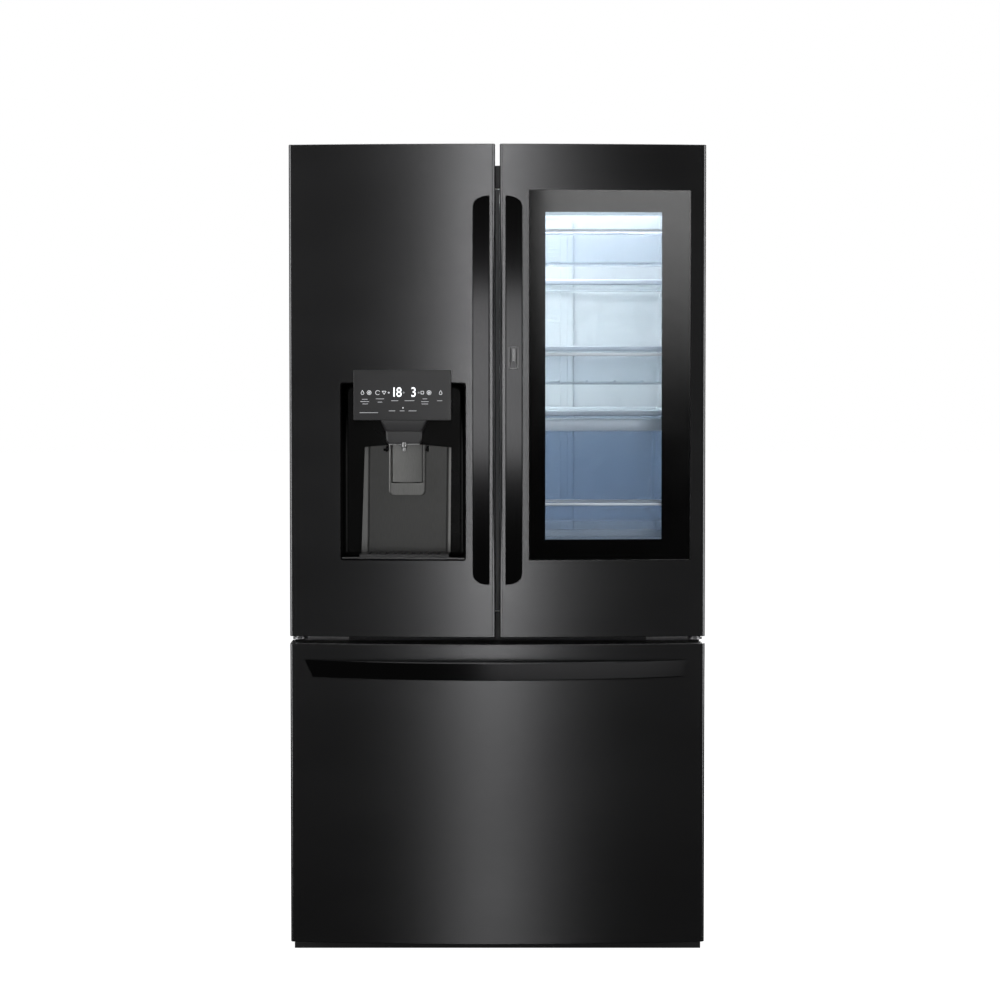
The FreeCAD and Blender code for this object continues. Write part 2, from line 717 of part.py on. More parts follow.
def leaf_core():
    """The leaf's body. Its back corner at the hinge is rounded so that it can swing past the frame."""
    core = leaf_blank(LEAF_BACK, SKIN)
    corner = []
    for edge in core.Edges:
        ends = [vertex.Point for vertex in edge.Vertexes]
        upright = abs(ends[0].z - ends[-1].z) > 1 and abs(ends[0].x - ends[-1].x) < 0.01
        if upright and ends[0].y > LEAF_BACK - 0.1 and ends[0].x > 400:
            corner.append(edge)
    core = core.makeFillet(7, corner)
    x0, x1, z0, z1 = WINDOW_BOX
    window = block(x0, x1, -420, LEAF_BACK + 1, z0, z1)
    cutters = [window, outer_pane(), inner_pane(), hinge_notch()] + leaf_pockets()
    return [cut_all(core, cutters)]


def leaf_glass():
    return [outer_pane(), inner_pane()]


def leaf_gasket():
    return [ring(18, 426, LEAF_BACK, FRAME_FRONT - 0.4, 735, 1736, 14)]


def upright_handle():
    """A bar that bows away from the door and runs into it at both ends."""
    z0, z1 = HANDLE_Z
    half = (z1 - z0) / 2
    middle = (z0 + z1) / 2
    rise = DOOR_FRONT - HANDLE_FRONT
    radius = (half ** 2 + rise ** 2) / (2 * rise)
    centre_y = HANDLE_FRONT + radius
    x0, x1 = HANDLE_X
    outer = rod(radius, (x0, centre_y, middle), (x1, centre_y, middle))
    inner = rod(radius - HANDLE_T, (x0 - 1, centre_y, middle), (x1 + 1, centre_y, middle))
    bar = outer.common(block(x0, x1, HANDLE_FRONT - 5, DOOR_FRONT + 2, z0, z1))
    return bar.cut(inner).cut(bow())


def right_handle():
    play = BUTTON_PLAY
    pocket = block(BUTTON_X[0] - play, BUTTON_X[1] + play, -460, -440, BUTTON_Z[0] - play, BUTTON_Z[1] + play)
    return [upright_handle().cut(pocket)]


def latch_button():
    return [block(BUTTON_X[0], BUTTON_X[1], -449.2, -443.4, BUTTON_Z[0], BUTTON_Z[1])]


# ---- freezer drawer ----

def drawer_blank(back, inset):
    return door_blank(-DOOR_HALF, DOOR_HALF, DRAWER_BOTTOM, DRAWER_TOP, back, inset)


def drawer_skin():
    return [drawer_blank(DOOR_BACK - 4, 0).cut(drawer_blank(DOOR_BACK + 1, SKIN))]


def drawer_core():
    dyke = block(-370, 370, DOOR_BACK - 5, -265, 150, 630)
    return [joined([drawer_blank(DOOR_BACK, SKIN), dyke])]


def drawer_gasket():
    return [ring(-431, 431, DOOR_BACK, GASKET_END, 99, 681, GASKET_W)]


def drawer_handle():
    z0, z1 = DRAWER_HANDLE_Z
    half = DRAWER_HANDLE_HALF
    end_y = DOOR_FRONT + DOOR_BOW * (half / DOOR_HALF) ** 2
    rise = end_y - HANDLE_FRONT
    radius = (half ** 2 + rise ** 2) / (2 * rise)
    centre_y = HANDLE_FRONT + radius
    outer = rod(radius, (0, centre_y, z0), (0, centre_y, z1))
    inner = rod(radius - HANDLE_T, (0, centre_y, z0 - 1), (0, centre_y, z1 + 1))
    bar = outer.common(block(-half, half, HANDLE_FRONT - 5, end_y + 2, z0, z1))
    return [bar.cut(inner).cut(bow())]


def drawer_basket():
    return [tub(-372, 372, DOOR_BACK + 38, 195, BASKET_Z[0], BASKET_Z[1], 3)]


def drawer_rails():
    return both_sides(block(377, 387, DOOR_BACK, 190, RAIL_Z - 14, RAIL_Z + 14))


PARTS = (
    case_panels, front_frame, cabinet_foam, liners, base_frame, kick_plate, front_feet,
    rear_rollers, door_hinges, hinge_covers, compressor, condenser, fan_motor, condenser_fan, drain_pan,
    machine_cover, inlet_valve, cord_gland, duct_covers, evaporator, shelf_frames,
    shelf_panes, crisper_left, crisper_right, pantry_drawer, ceiling_light, water_filter, slide_rails,
    slide_middles, freezer_tray, left_skin, left_core, left_gasket, left_handle, dispenser_tub,
    display_panel, dispenser_spouts, dispenser_paddle, drip_tray, ice_room, ice_bin, left_bins,
    flip_mullion, right_frame, right_gasket, frame_bins, frame_cover, leaf_hinges, leaf_skin, leaf_core,
    leaf_glass, leaf_gasket, right_handle, latch_button, drawer_skin, drawer_core, drawer_gasket,
    drawer_handle, drawer_basket, drawer_rails,
)


def main():
    os.makedirs("parts", exist_ok=True)
    for make in PARTS:
        shapes = make()
        shape = shapes[0] if len(shapes) == 1 else Part.makeCompound(shapes)
        shape.exportStep("parts/" + make.__name__ + ".step")
        print(make.__name__, len(shape.Solids), shape.isValid())


main()
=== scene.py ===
import json
import math

import bmesh
import bpy
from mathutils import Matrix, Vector

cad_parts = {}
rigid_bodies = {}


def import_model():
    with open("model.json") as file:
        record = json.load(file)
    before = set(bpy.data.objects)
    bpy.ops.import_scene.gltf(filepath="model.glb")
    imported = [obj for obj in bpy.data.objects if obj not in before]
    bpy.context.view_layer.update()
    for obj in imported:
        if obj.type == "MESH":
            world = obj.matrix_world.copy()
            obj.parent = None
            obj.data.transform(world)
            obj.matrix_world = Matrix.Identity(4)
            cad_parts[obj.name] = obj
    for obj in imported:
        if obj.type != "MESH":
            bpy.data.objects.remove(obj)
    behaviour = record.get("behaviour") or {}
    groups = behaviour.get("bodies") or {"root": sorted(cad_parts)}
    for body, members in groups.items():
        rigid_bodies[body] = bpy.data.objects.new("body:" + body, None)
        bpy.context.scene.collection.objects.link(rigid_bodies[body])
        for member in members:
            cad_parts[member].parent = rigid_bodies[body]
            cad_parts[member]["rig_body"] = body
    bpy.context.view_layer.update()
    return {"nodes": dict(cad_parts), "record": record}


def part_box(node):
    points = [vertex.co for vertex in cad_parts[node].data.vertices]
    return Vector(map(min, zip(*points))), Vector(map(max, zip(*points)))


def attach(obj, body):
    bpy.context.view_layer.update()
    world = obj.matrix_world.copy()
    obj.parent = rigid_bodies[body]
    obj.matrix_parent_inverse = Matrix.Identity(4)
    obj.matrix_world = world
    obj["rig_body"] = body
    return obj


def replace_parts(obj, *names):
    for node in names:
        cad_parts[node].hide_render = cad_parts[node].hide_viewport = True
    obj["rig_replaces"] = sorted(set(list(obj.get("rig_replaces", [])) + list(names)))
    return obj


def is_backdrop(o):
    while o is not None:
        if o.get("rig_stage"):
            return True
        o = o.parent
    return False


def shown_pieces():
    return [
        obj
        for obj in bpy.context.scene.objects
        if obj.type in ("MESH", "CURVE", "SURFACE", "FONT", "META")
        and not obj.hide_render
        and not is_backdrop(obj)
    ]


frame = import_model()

# Looks of the french door refrigerator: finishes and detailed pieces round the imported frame. Metres.

NODE_SLOT = {part["node"]: part["material_slot"] for part in frame["record"]["subparts"]}
LEFT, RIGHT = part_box("left_skin"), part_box("leaf_skin")
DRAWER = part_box("drawer_skin")
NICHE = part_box("dispenser_tub")
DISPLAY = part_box("display_panel")

# The bow that runs across both upper doors and the drawer
DOOR_HALF = DRAWER[1].x
DOOR_FRONT = DRAWER[0].y
BOW_DEPTH = 0.026
BOW_R = (DOOR_HALF ** 2 + BOW_DEPTH ** 2) / (2 * BOW_DEPTH)
SKIN = 0.0012
EDGE_R = 0.006
FOLD_R = 0.0016
TUB_WALL = 0.003

# Notches in the doors' top corners for the top hinges, and pockets in the leaf's side for its own hinges
NOTCH_FLOOR = 1.743
NOTCH_Y = -0.350
LEAF_HINGE_Z = (0.772, 1.708)
LEAF_POCKET_Z = (-0.0092, 0.0132)
LEAF_POCKET_Y = -0.3680

# Lined rooms, shelves and door bins
FRIDGE_ROOM = (0.762, 1.694, 0.378)
FREEZER_ROOM = (0.120, 0.660)
COMPRESSOR_STEP = (0.213, 0.332)
SHELF_TOPS = (1.204, 1.350, 1.500)
SHELF_Y = (-0.173, 0.350)
SHELF_HALVES = (0.0045, 0.4065)
FRAME_BIN_LEVELS = ((0.915, 1.004), (1.264, 1.333), (1.527, 1.604))
LEFT_BIN_LEVELS = ((0.790, 0.880), (1.020, 1.110))

# Dispenser
DISPENSE_X = -0.203
CHUTE_MOUTH = 1.1345
PADDLE_X = -0.198
PADDLE_Y = -0.335
PADDLE_Z = 1.121
DISPLAY_ROW = 0.0600
DIGIT_SIZE = 0.029
DIGIT_SQUEEZE = 0.86

# Window in the leaf and the mullion behind the doors' gap
CLEAR_X = (0.1036, 0.3564)
CLEAR_Z = (0.9284, 1.6369)
MULLION_Z = (0.7625, 1.6935)

# Words in the names of the pieces that the lamp in front of the window lights
SEEN_IN_WINDOW = {"bin", "rail", "rails", "box", "ledges", "shelf"}
LAMP_WHITE = (0.98, 0.985, 1.0)


# ---- shaders ----

def new_material(name, colour, roughness, metallic=0.0):
    material = bpy.data.materials.new(name)
    material.use_nodes = True
    shader = material.node_tree.nodes["Principled BSDF"]
    shader.inputs["Base Color"].default_value = (*colour, 1)
    shader.inputs["Roughness"].default_value = roughness
    shader.inputs["Metallic"].default_value = metallic
    return material, material.node_tree, shader


def noise(tree, size, stretch=(1, 1, 1), detail=3.0):
    """A noise whose blobs are about size metres, longer along the axes whose stretch is under 1."""
    nodes, links = tree.nodes, tree.links
    place = nodes.new("ShaderNodeTexCoord")
    scaled = nodes.new("ShaderNodeMapping")
    scaled.inputs["Scale"].default_value = stretch
    links.new(place.outputs["Object"], scaled.inputs["Vector"])
    texture = nodes.new("ShaderNodeTexNoise")
    texture.inputs["Scale"].default_value = 1 / size
    texture.inputs["Detail"].default_value = detail
    links.new(scaled.outputs["Vector"], texture.inputs["Vector"])
    return texture.outputs["Fac"]


def mapped(tree, value, low, high):
    node = tree.nodes.new("ShaderNodeMapRange")
    node.inputs["From Min"].default_value = 0.3
    node.inputs["From Max"].default_value = 0.7
    node.inputs["To Min"].default_value = low
    node.inputs["To Max"].default_value = high
    tree.links.new(value, node.inputs["Value"])
    return node.outputs["Result"]


def tinted(tree, shader, value, dark, light):
    """Base colour that runs between two colours with a pattern."""
    ramp = tree.nodes.new("ShaderNodeValToRGB")
    ramp.color_ramp.elements[0].position = 0.3
    ramp.color_ramp.elements[0].color = (*dark, 1)
    ramp.color_ramp.elements[1].position = 0.7
    ramp.color_ramp.elements[1].color = (*light, 1)
    tree.links.new(value, ramp.inputs["Fac"])
    tree.links.new(ramp.outputs["Color"], shader.inputs["Base Color"])


def bumped(tree, shader, value, depth, strength=1.0):
    node = tree.nodes.new("ShaderNodeBump")
    node.inputs["Distance"].default_value = depth
    node.inputs["Strength"].default_value = strength
    tree.links.new(value, node.inputs["Height"])
    tree.links.new(node.outputs["Normal"], shader.inputs["Normal"])


def scaled_colour(colour, factor):
    return tuple(min(1.0, channel * factor) for channel in colour)


def brushed(name, colour, roughness, grain=(0.02, 1, 1), size=0.0006, depth=0.00002, spread=0.08):
    """Brushed metal. The grain runs along the axis whose stretch is small."""
    material, tree, shader = new_material(name, colour, roughness, 1.0)
    lines = noise(tree, size, grain, 2.0)
    cloud = noise(tree, 0.12, (0.4, 1, 1), 2.0)
    tinted(tree, shader, lines, scaled_colour(colour, 0.9), scaled_colour(colour, 1.1))
    tree.links.new(mapped(tree, cloud, roughness - spread / 2, roughness + spread / 2), shader.inputs["Roughness"])
    bumped(tree, shader, lines, depth)
    return material


def painted(name, colour, roughness, size=0.003, depth=0.00015, metallic=0.0, vary=0.12):
    """Paint or moulded plastic with a fine skin texture and a slight drift of colour and gloss."""
    material, tree, shader = new_material(name, colour, roughness, metallic)
    skin = noise(tree, size)
    cloud = noise(tree, 0.09)
    tinted(tree, shader, cloud, scaled_colour(colour, 1 - vary), scaled_colour(colour, 1 + vary))
    tree.links.new(mapped(tree, cloud, roughness * 0.88, roughness * 1.12), shader.inputs["Roughness"])
    bumped(tree, shader, skin, depth)
    return material


def clear(name, colour, edge, gloss=0.05, body=0.06, size=0.02, veil=None):
    """Clear plastic or glass: see-through face on, and more reflective and tinted at a glancing angle."""
    material = bpy.data.materials.new(name)
    material.use_nodes = True
    tree = material.node_tree
    nodes, links = tree.nodes, tree.links
    shader = nodes["Principled BSDF"]
    shader.inputs["Base Color"].default_value = (*edge, 1)
    shader.inputs["Roughness"].default_value = gloss
    through = nodes.new("ShaderNodeBsdfTransparent")
    through.inputs["Color"].default_value = (*colour, 1)
    facing = nodes.new("ShaderNodeLayerWeight")
    facing.inputs["Blend"].default_value = 0.35
    ramp = nodes.new("ShaderNodeMapRange")
    ramp.inputs["To Min"].default_value = body
    ramp.inputs["To Max"].default_value = 0.75 if veil is None else veil
    links.new(facing.outputs["Facing"], ramp.inputs["Value"])
    mix = nodes.new("ShaderNodeMixShader")
    links.new(ramp.outputs["Result"], mix.inputs["Fac"])
    links.new(through.outputs["BSDF"], mix.inputs[1])
    links.new(shader.outputs["BSDF"], mix.inputs[2])
    links.new(mix.outputs["Shader"], nodes["Material Output"].inputs["Surface"])
    bumped(tree, shader, noise(tree, size), 0.0003)
    return material


def glowing(name, colour, strength, size=0.004):
    """A lit diffuser or lamp: its light drifts slightly across the face."""
    material, tree, shader = new_material(name, colour, 0.4)
    shader.inputs["Emission Strength"].default_value = strength
    ramp = tree.nodes.new("ShaderNodeValToRGB")
    ramp.color_ramp.elements[0].color = (*scaled_colour(colour, 0.85), 1)
    ramp.color_ramp.elements[1].color = (*colour, 1)
    tree.links.new(noise(tree, size), ramp.inputs["Fac"])
    tree.links.new(ramp.outputs["Color"], shader.inputs["Emission Color"])
    return material


STEEL = brushed("dark_brushed_steel", (0.088, 0.088, 0.09), 0.245, spread=0.02)
HANDLE = brushed("handle_dark_steel", (0.04, 0.04, 0.041), 0.2, (1, 1, 0.02), 0.0006, 0.000004, 0.02)
CASE = painted("case_pebbled_paint", (0.028, 0.028, 0.03), 0.42, 0.0016, 0.00004, vary=0.02)
WHITE = painted("white_liner_plastic", (0.815, 0.832, 0.85), 0.28, 0.004, 0.00002, vary=0.004)
TRIM_WHITE = painted("white_trim_plastic", (0.81, 0.835, 0.87), 0.22, 0.005, 0.000015, vary=0.004)
FOAM = painted("foam", (0.62, 0.56, 0.38), 0.85, 0.006, 0.0006)
BLACK = painted("black_plastic_satin", (0.018, 0.018, 0.019), 0.38, 0.0012, 0.00005)
GLOSS = painted("black_plastic_gloss", (0.0012, 0.0012, 0.0012), 0.3, 0.02, 0.00002)
GLOSS.node_tree.nodes["Principled BSDF"].inputs["Specular IOR Level"].default_value = 0.06
GREY = painted("grey_plastic", (0.16, 0.165, 0.17), 0.42, 0.002, 0.00006)
DARK_GREY = painted("dark_grey_plastic", (0.035, 0.035, 0.037), 0.35, 0.0015, 0.00004)
RUBBER = painted("gasket_rubber", (0.045, 0.045, 0.048), 0.6, 0.0025, 0.0001)
GALVANISED = brushed("galvanised_steel", (0.45, 0.46, 0.47), 0.42, (1, 1, 1), 0.012, 0.00004)
HINGE = brushed("hinge_steel", (0.20, 0.20, 0.205), 0.34, (1, 0.1, 1))
ZINC = brushed("zinc", (0.5, 0.51, 0.52), 0.35, (1, 1, 0.1))
FINS = brushed("aluminium_fins", (0.6, 0.61, 0.62), 0.35, (1, 1, 0.1))
COMPRESSOR = painted("compressor_enamel", (0.012, 0.012, 0.013), 0.3, 0.01, 0.00008)
CLEAR = clear("clear_plastic", (0.966, 0.974, 0.984), (0.62, 0.67, 0.73), body=0.05, veil=0.7)
CLEAR_BLUE = clear("clear_blue_plastic", (0.93, 0.952, 0.98), (0.50, 0.57, 0.68), body=0.06, veil=0.7)
SHELF_GLASS = clear("shelf_glass", (0.965, 0.98, 0.975), (0.5, 0.6, 0.6), body=0.03, veil=0.8)
WINDOW_GLASS = clear("window_glass", (0.93, 0.94, 0.95), (0.02, 0.02, 0.022), gloss=0.03, body=0.03, veil=0.25)
PRINT_BLACK = painted("black_print_under_glass", (0.0035, 0.0035, 0.004), 0.13, 0.05, 0.00001)
FROSTED = clear("frosted_plastic", (0.9, 0.93, 0.96), (0.72, 0.77, 0.84), gloss=0.35, body=0.45, veil=0.8)
LAMP = glowing("lamp_diffuser", (1.0, 1.0, 1.0), 5.0)
GLYPH = glowing("display_glyph", (0.95, 0.97, 1.0), 1.0)
GLYPH_DIM = glowing("display_mark", (0.55, 0.56, 0.58), 0.35)
GLYPH_SOFT = glowing("display_symbol", (0.8, 0.82, 0.84), 0.6)
DISPLAY_GREY = painted("display_face", (0.031, 0.031, 0.032), 0.34, 0.004, 0.00001, vary=0.05)
BACK_STEEL = brushed("recess_back_steel", (0.056, 0.056, 0.055), 0.34, (1, 1, 0.03), spread=0.02)
SILL_STEEL = brushed("sill_steel", (0.12, 0.12, 0.12), 0.3, spread=0.03)
CHUTE_GREY = painted("chute_plastic", (0.03, 0.03, 0.031), 0.33, 0.003, 0.00002)
PADDLE_METAL = brushed("paddle_metal", (0.125, 0.125, 0.122), 0.34, (1, 1, 0.05), spread=0.02)
NOZZLE = brushed("nozzle_metal", (0.24, 0.24, 0.24), 0.3, (1, 1, 0.1))
KICK = painted("kick_plate_black", (0.005, 0.005, 0.005), 0.6, 0.004, 0.00002)
BUTTON_STEEL = brushed("button_steel", (0.16, 0.16, 0.162), 0.3, (0.02, 1, 1), spread=0.03)

FINISH = {
    "case_paint": CASE, "dark_steel": STEEL, "handle_metal": HANDLE, "foam": FOAM, "white_liner": WHITE,
    "galvanised": GALVANISED, "black_plastic": BLACK, "gloss_black": GLOSS, "hinge_steel": HINGE,
    "compressor_black": COMPRESSOR, "copper_fins": FINS, "clear_plastic": CLEAR, "shelf_glass": SHELF_GLASS,
    "door_glass": WINDOW_GLASS, "light": LAMP, "gasket": RUBBER, "grey_plastic": GREY, "zinc": ZINC,
}


# ---- forms ----

def piece(name, bm, body, slot, materials, stands_for=(), crease=32.0, bevel=0.0):
    """Turns a bmesh into a finished piece that rides on a body."""
    bmesh.ops.recalc_face_normals(bm, faces=bm.faces)
    mesh = bpy.data.meshes.new(name)
    bm.to_mesh(mesh)
    bm.free()
    for material in materials if isinstance(materials, (list, tuple)) else [materials]:
        mesh.materials.append(material)
    for polygon in mesh.polygons:
        polygon.use_smooth = True
    if "facing" in mesh.attributes:
        set_exact_normals(mesh)
    else:
        mesh.set_sharp_from_angle(angle=math.radians(crease))
    thing = bpy.data.objects.new(name, mesh)
    bpy.context.scene.collection.objects.link(thing)
    if bevel:
        rounding = thing.modifiers.new("rounded_edges", "BEVEL")
        rounding.width = bevel
        rounding.segments = 2
        rounding.limit_method = "ANGLE"
        rounding.angle_limit = math.radians(crease)
        rounding.use_clamp_overlap = True
    if "facing" not in mesh.attributes:
        weighting = thing.modifiers.new("even_shading", "WEIGHTED_NORMAL")
        weighting.weight = 80
        weighting.keep_sharp = True
    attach(thing, body)
    if stands_for:
        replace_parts(thing, *stands_for)
    return thing


def set_exact_normals(mesh):
    """Shades a curved sheet with the normals of the curve itself, and its other faces flat."""
    facing = mesh.attributes["facing"].data
    normals = []
    for polygon in mesh.polygons:
        for index in polygon.vertices:
            exact = Vector(facing[index].vector)
            fits = exact.length > 0.5 and exact.normalized().dot(polygon.normal) > 0.75
            normals.append(exact.normalized() if fits else polygon.normal.copy())
    mesh.normals_split_custom_set(normals)


def loft(bm, loops, caps=(True, True), closed=True, mat=0):
    """A skin through loops that have the same number of points."""
    rows = [[bm.verts.new(point) for point in loop] for loop in loops]
    count = len(rows[0])
    for low, high in zip(rows, rows[1:]):
        for i in range(count if closed else count - 1):
            j = (i + 1) % count
            bm.faces.new((low[i], low[j], high[j], high[i])).material_index = mat
    if caps[0]:
        bm.faces.new(rows[0][::-1]).material_index = mat
    if caps[1]:
        bm.faces.new(rows[-1]).material_index = mat
    return rows


def round_rect(x0, x1, y0, y1, radius, steps=4, runs=1):
    """The outline of a rectangle with rounded corners, its straight sides cut into runs."""
    radius = max(1e-5, min(radius, (x1 - x0) / 2 - 1e-6, (y1 - y0) / 2 - 1e-6))
    near_x, far_x, near_y, far_y = x0 + radius, x1 - radius, y0 + radius, y1 - radius
    points = []
    for quarter, (cx, cy) in enumerate(((far_x, far_y), (near_x, far_y), (near_x, near_y), (far_x, near_y))):
        for k in range(steps + 1):
            angle = math.radians(90 * (quarter + k / steps))
            points.append((cx + radius * math.cos(angle), cy + radius * math.sin(angle)))
        start = Vector(points[-1])
        turn = math.radians(90 * (quarter + 1))
        across = (far_x - near_x) if quarter % 2 == 0 else (far_y - near_y)
        way = Vector((-math.sin(turn), math.cos(turn)))
        points += [tuple(start + way * across * k / runs) for k in range(1, runs)]
    return points


def turned(axis, u, v, w):
    """A point given across and along an axis."""
    return {"x": (w, u, v), "y": (u, w, v), "z": (u, v, w)}[axis]


def split_axis(axis, lo, hi):
    order = {"x": (1, 2, 0), "y": (0, 2, 1), "z": (0, 1, 2)}[axis]
    return [(lo[i], hi[i]) for i in order]


def block(bm, lo, hi, corner=0.002, edge=0.001, axis="z", mat=0, steps=4):
    """A box with rounded corners round an axis and softened edges at both ends of it."""
    (u0, u1), (v0, v1), (w0, w1) = split_axis(axis, lo, hi)
    edge = min(edge, (w1 - w0) / 2 - 1e-6, (u1 - u0) / 2 - 1e-6, (v1 - v0) / 2 - 1e-6)
    loops = []
    for k in range(4):
        angle = math.radians(30 * k)
        inset = edge * (1 - math.sin(angle))
        loops.append((inset, w0 + edge * (1 - math.cos(angle))))
    for k in range(4):
        angle = math.radians(90 - 30 * k)
        inset = edge * (1 - math.sin(angle))
        loops.append((inset, w1 - edge * (1 - math.cos(angle))))
    rings = []
    for inset, w in loops:
        outline = round_rect(u0 + inset, u1 - inset, v0 + inset, v1 - inset, max(corner - inset, 0.0002), steps)
        rings.append([turned(axis, u, v, w) for u, v in outline])
    loft(bm, rings, mat=mat)


def spun(bm, profile, centre, axis="z", sides=32, mat=0, caps=(True, True)):
    """A turned form. The profile is (radius, distance along the axis from the centre)."""
    centre = Vector(centre)
    rings = []
    for radius, along in profile:
        ring = []
        for k in range(sides):
            angle = 2 * math.pi * k / sides
            offset = turned(axis, radius * math.cos(angle), radius * math.sin(angle), along)
            ring.append(centre + Vector(offset))
        rings.append(ring)
    loft(bm, rings, caps, mat=mat)


def tub(bm, lo, hi, wall=0.003, corner=0.012, draft=0.0, rim=0.0, rim_height=0.004, foot=0.006, mat=0, rim_mat=None):
    """An open-topped container with rounded corners, sloping walls and a rim that turns outwards."""
    (x0, y0, z0), (x1, y1, z1) = lo, hi
    rim_mat = mat if rim_mat is None else rim_mat

    def ring(inset, z, radius):
        return [(x, y, z) for x, y in round_rect(x0 + inset, x1 - inset, y0 + inset, y1 - inset, radius)]

    outside = []
    for k in range(4):
        angle = math.radians(30 * k)
        outside.append(ring(rim + draft + foot * (1 - math.sin(angle)), z0 + foot * (1 - math.cos(angle)), corner))
    shoulder = z1 - rim_height
    outside.append(ring(rim, shoulder, corner))
    lip = [ring(rim, shoulder, corner), ring(0, shoulder + 0.0005, corner), ring(0, z1 - 0.001, corner)]
    lip += [ring(0.0006, z1, corner), ring(rim + wall - 0.0004, z1, corner), ring(rim + wall, z1 - 0.0008, corner)]
    inside = [ring(rim + wall, z1 - 0.0008, corner)]
    for k in range(4):
        angle = math.radians(90 - 30 * k)
        inset = rim + draft + wall + foot * (1 - math.sin(angle))
        inside.append(ring(inset, z0 + wall + foot * (1 - math.cos(angle)), corner))
    loft(bm, outside, (True, False), mat=mat)
    loft(bm, lip, (False, False), mat=rim_mat)
    loft(bm, inside, (False, True), mat=mat)
    bmesh.ops.remove_doubles(bm, verts=bm.verts, dist=1e-6)


def screw(bm, centre, axis, radius=0.004, way=1, mat=0):
    """A domed screw head with a round socket."""
    profile = [(radius, 0), (radius, 0.0008 * way), (radius * 0.8, 0.0018 * way), (radius * 0.45, 0.0021 * way)]
    spun(bm, profile, centre, axis, 18, mat, (True, False))
    socket = [(radius * 0.45, 0.0021 * way), (radius * 0.42, 0.0008 * way)]
    spun(bm, socket, centre, axis, 18, mat, (False, True))
    bmesh.ops.remove_doubles(bm, verts=bm.verts, dist=1e-7)


def refined(node, materials=None, pick=None, width=0.0008, name=None, dissolve=0.5):
    """The CAD node's own shape as a new piece, with its edges rounded."""
    source = frame["nodes"][node]
    bm = bmesh.new()
    bm.from_mesh(source.data)
    bmesh.ops.remove_doubles(bm, verts=bm.verts, dist=1e-6)
    bmesh.ops.dissolve_limit(bm, angle_limit=math.radians(dissolve), verts=bm.verts, edges=bm.edges)
    bm.normal_update()
    for face in bm.faces:
        face.material_index = pick(face) if pick else 0
    slot = NODE_SLOT[node]
    return piece(name or node + "_finished", bm, source["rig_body"], slot, materials or FINISH[slot], [node], 30, width)


def front_y(x, inset=0.0):
    """Where the bowed front lies at x, moved in by inset."""
    return DOOR_FRONT + BOW_R - math.sqrt((BOW_R - inset) ** 2 - x * x)


def between(start, end, step):
    count = max(1, round(abs(end - start) / step))
    return [start + (end - start) * k / count for k in range(count + 1)]


# ---- camera, light and floor ----

def make_camera():
    data = bpy.data.cameras.new("camera")
    data.sensor_width = 36.0
    data.lens = 83.16
    data.shift_y = -0.05
    data.dof.use_dof = False
    camera = bpy.data.objects.new("camera", data)
    camera.location = (0.0055, -5.4, 1.3)
    camera.rotation_euler = (math.radians(90 - 2.03), 0, 0)
    bpy.context.scene.collection.objects.link(camera)
    bpy.context.scene.camera = camera


def area_light(name, place, aim, width, height, power, colour=(1, 1, 1), spread=180.0):
    data = bpy.data.lights.new(name, "AREA")
    data.shape = "RECTANGLE"
    data.size = width
    data.size_y = height
    data.energy = power
    data.color = colour
    data.spread = math.radians(spread)
    lamp = bpy.data.objects.new(name, data)
    lamp.location = place
    lamp.rotation_euler = (Vector(aim) - Vector(place)).to_track_quat("-Z", "Y").to_euler()
    lamp.visible_camera = False
    bpy.context.scene.collection.objects.link(lamp)
    return lamp


def make_world():
    """A white backdrop to the camera, and a dim surround, darker below the horizon, for everything else."""
    world = bpy.data.worlds.new("studio")
    bpy.context.scene.world = world
    world.use_nodes = True
    tree = world.node_tree
    backdrop = tree.nodes["Background"]
    backdrop.inputs["Color"].default_value = (1, 1, 1, 1)
    backdrop.inputs["Strength"].default_value = 1.0
    surround = tree.nodes.new("ShaderNodeBackground")
    surround.inputs["Strength"].default_value = 0.16
    way = tree.nodes.new("ShaderNodeTexCoord")
    parts = tree.nodes.new("ShaderNodeSeparateXYZ")
    ramp = tree.nodes.new("ShaderNodeValToRGB")
    ramp.color_ramp.elements[0].position = 0.0
    ramp.color_ramp.elements[0].color = (0.26, 0.26, 0.26, 1)
    ramp.color_ramp.elements[1].position = 0.12
    ramp.color_ramp.elements[1].color = (0.37, 0.37, 0.37, 1)
    tree.links.new(way.outputs["Generated"], parts.inputs["Vector"])
    tree.links.new(parts.outputs["Z"], ramp.inputs["Fac"])
    tree.links.new(ramp.outputs["Color"], surround.inputs["Color"])
    path = tree.nodes.new("ShaderNodeLightPath")
    mix = tree.nodes.new("ShaderNodeMixShader")
    tree.links.new(path.outputs["Is Camera Ray"], mix.inputs["Fac"])
    tree.links.new(surround.outputs["Background"], mix.inputs[1])
    tree.links.new(backdrop.outputs["Background"], mix.inputs[2])
    tree.links.new(mix.outputs["Shader"], tree.nodes["World Output"].inputs["Surface"])


def make_floor():
    bm = bmesh.new()
    bmesh.ops.create_grid(bm, x_segments=4, y_segments=4, size=30)
    mesh = bpy.data.meshes.new("floor")
    bm.to_mesh(mesh)
    bm.free()
    material, tree, shader = new_material("floor_pale", (0.25, 0.25, 0.25), 0.9)
    shader.inputs["Emission Color"].default_value = (1, 1, 1, 1)
    shader.inputs["Emission Strength"].default_value = 1.0
    bumped(tree, shader, noise(tree, 0.02), 0.0002)
    mesh.materials.append(material)
    floor = bpy.data.objects.new("floor", mesh)
    floor.location = (0, 0, -0.0005)
    floor.visible_glossy = False
    floor.visible_diffuse = False
    bpy.context.scene.collection.objects.link(floor)
    floor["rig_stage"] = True


def only_for(lamp, names):
    """The lamp lights these pieces only."""
    chosen = bpy.data.collections.new(lamp.name + "_receivers")
    for name in names:
        chosen.objects.link(bpy.data.objects[name])
    lamp.light_linking.receiver_collection = chosen


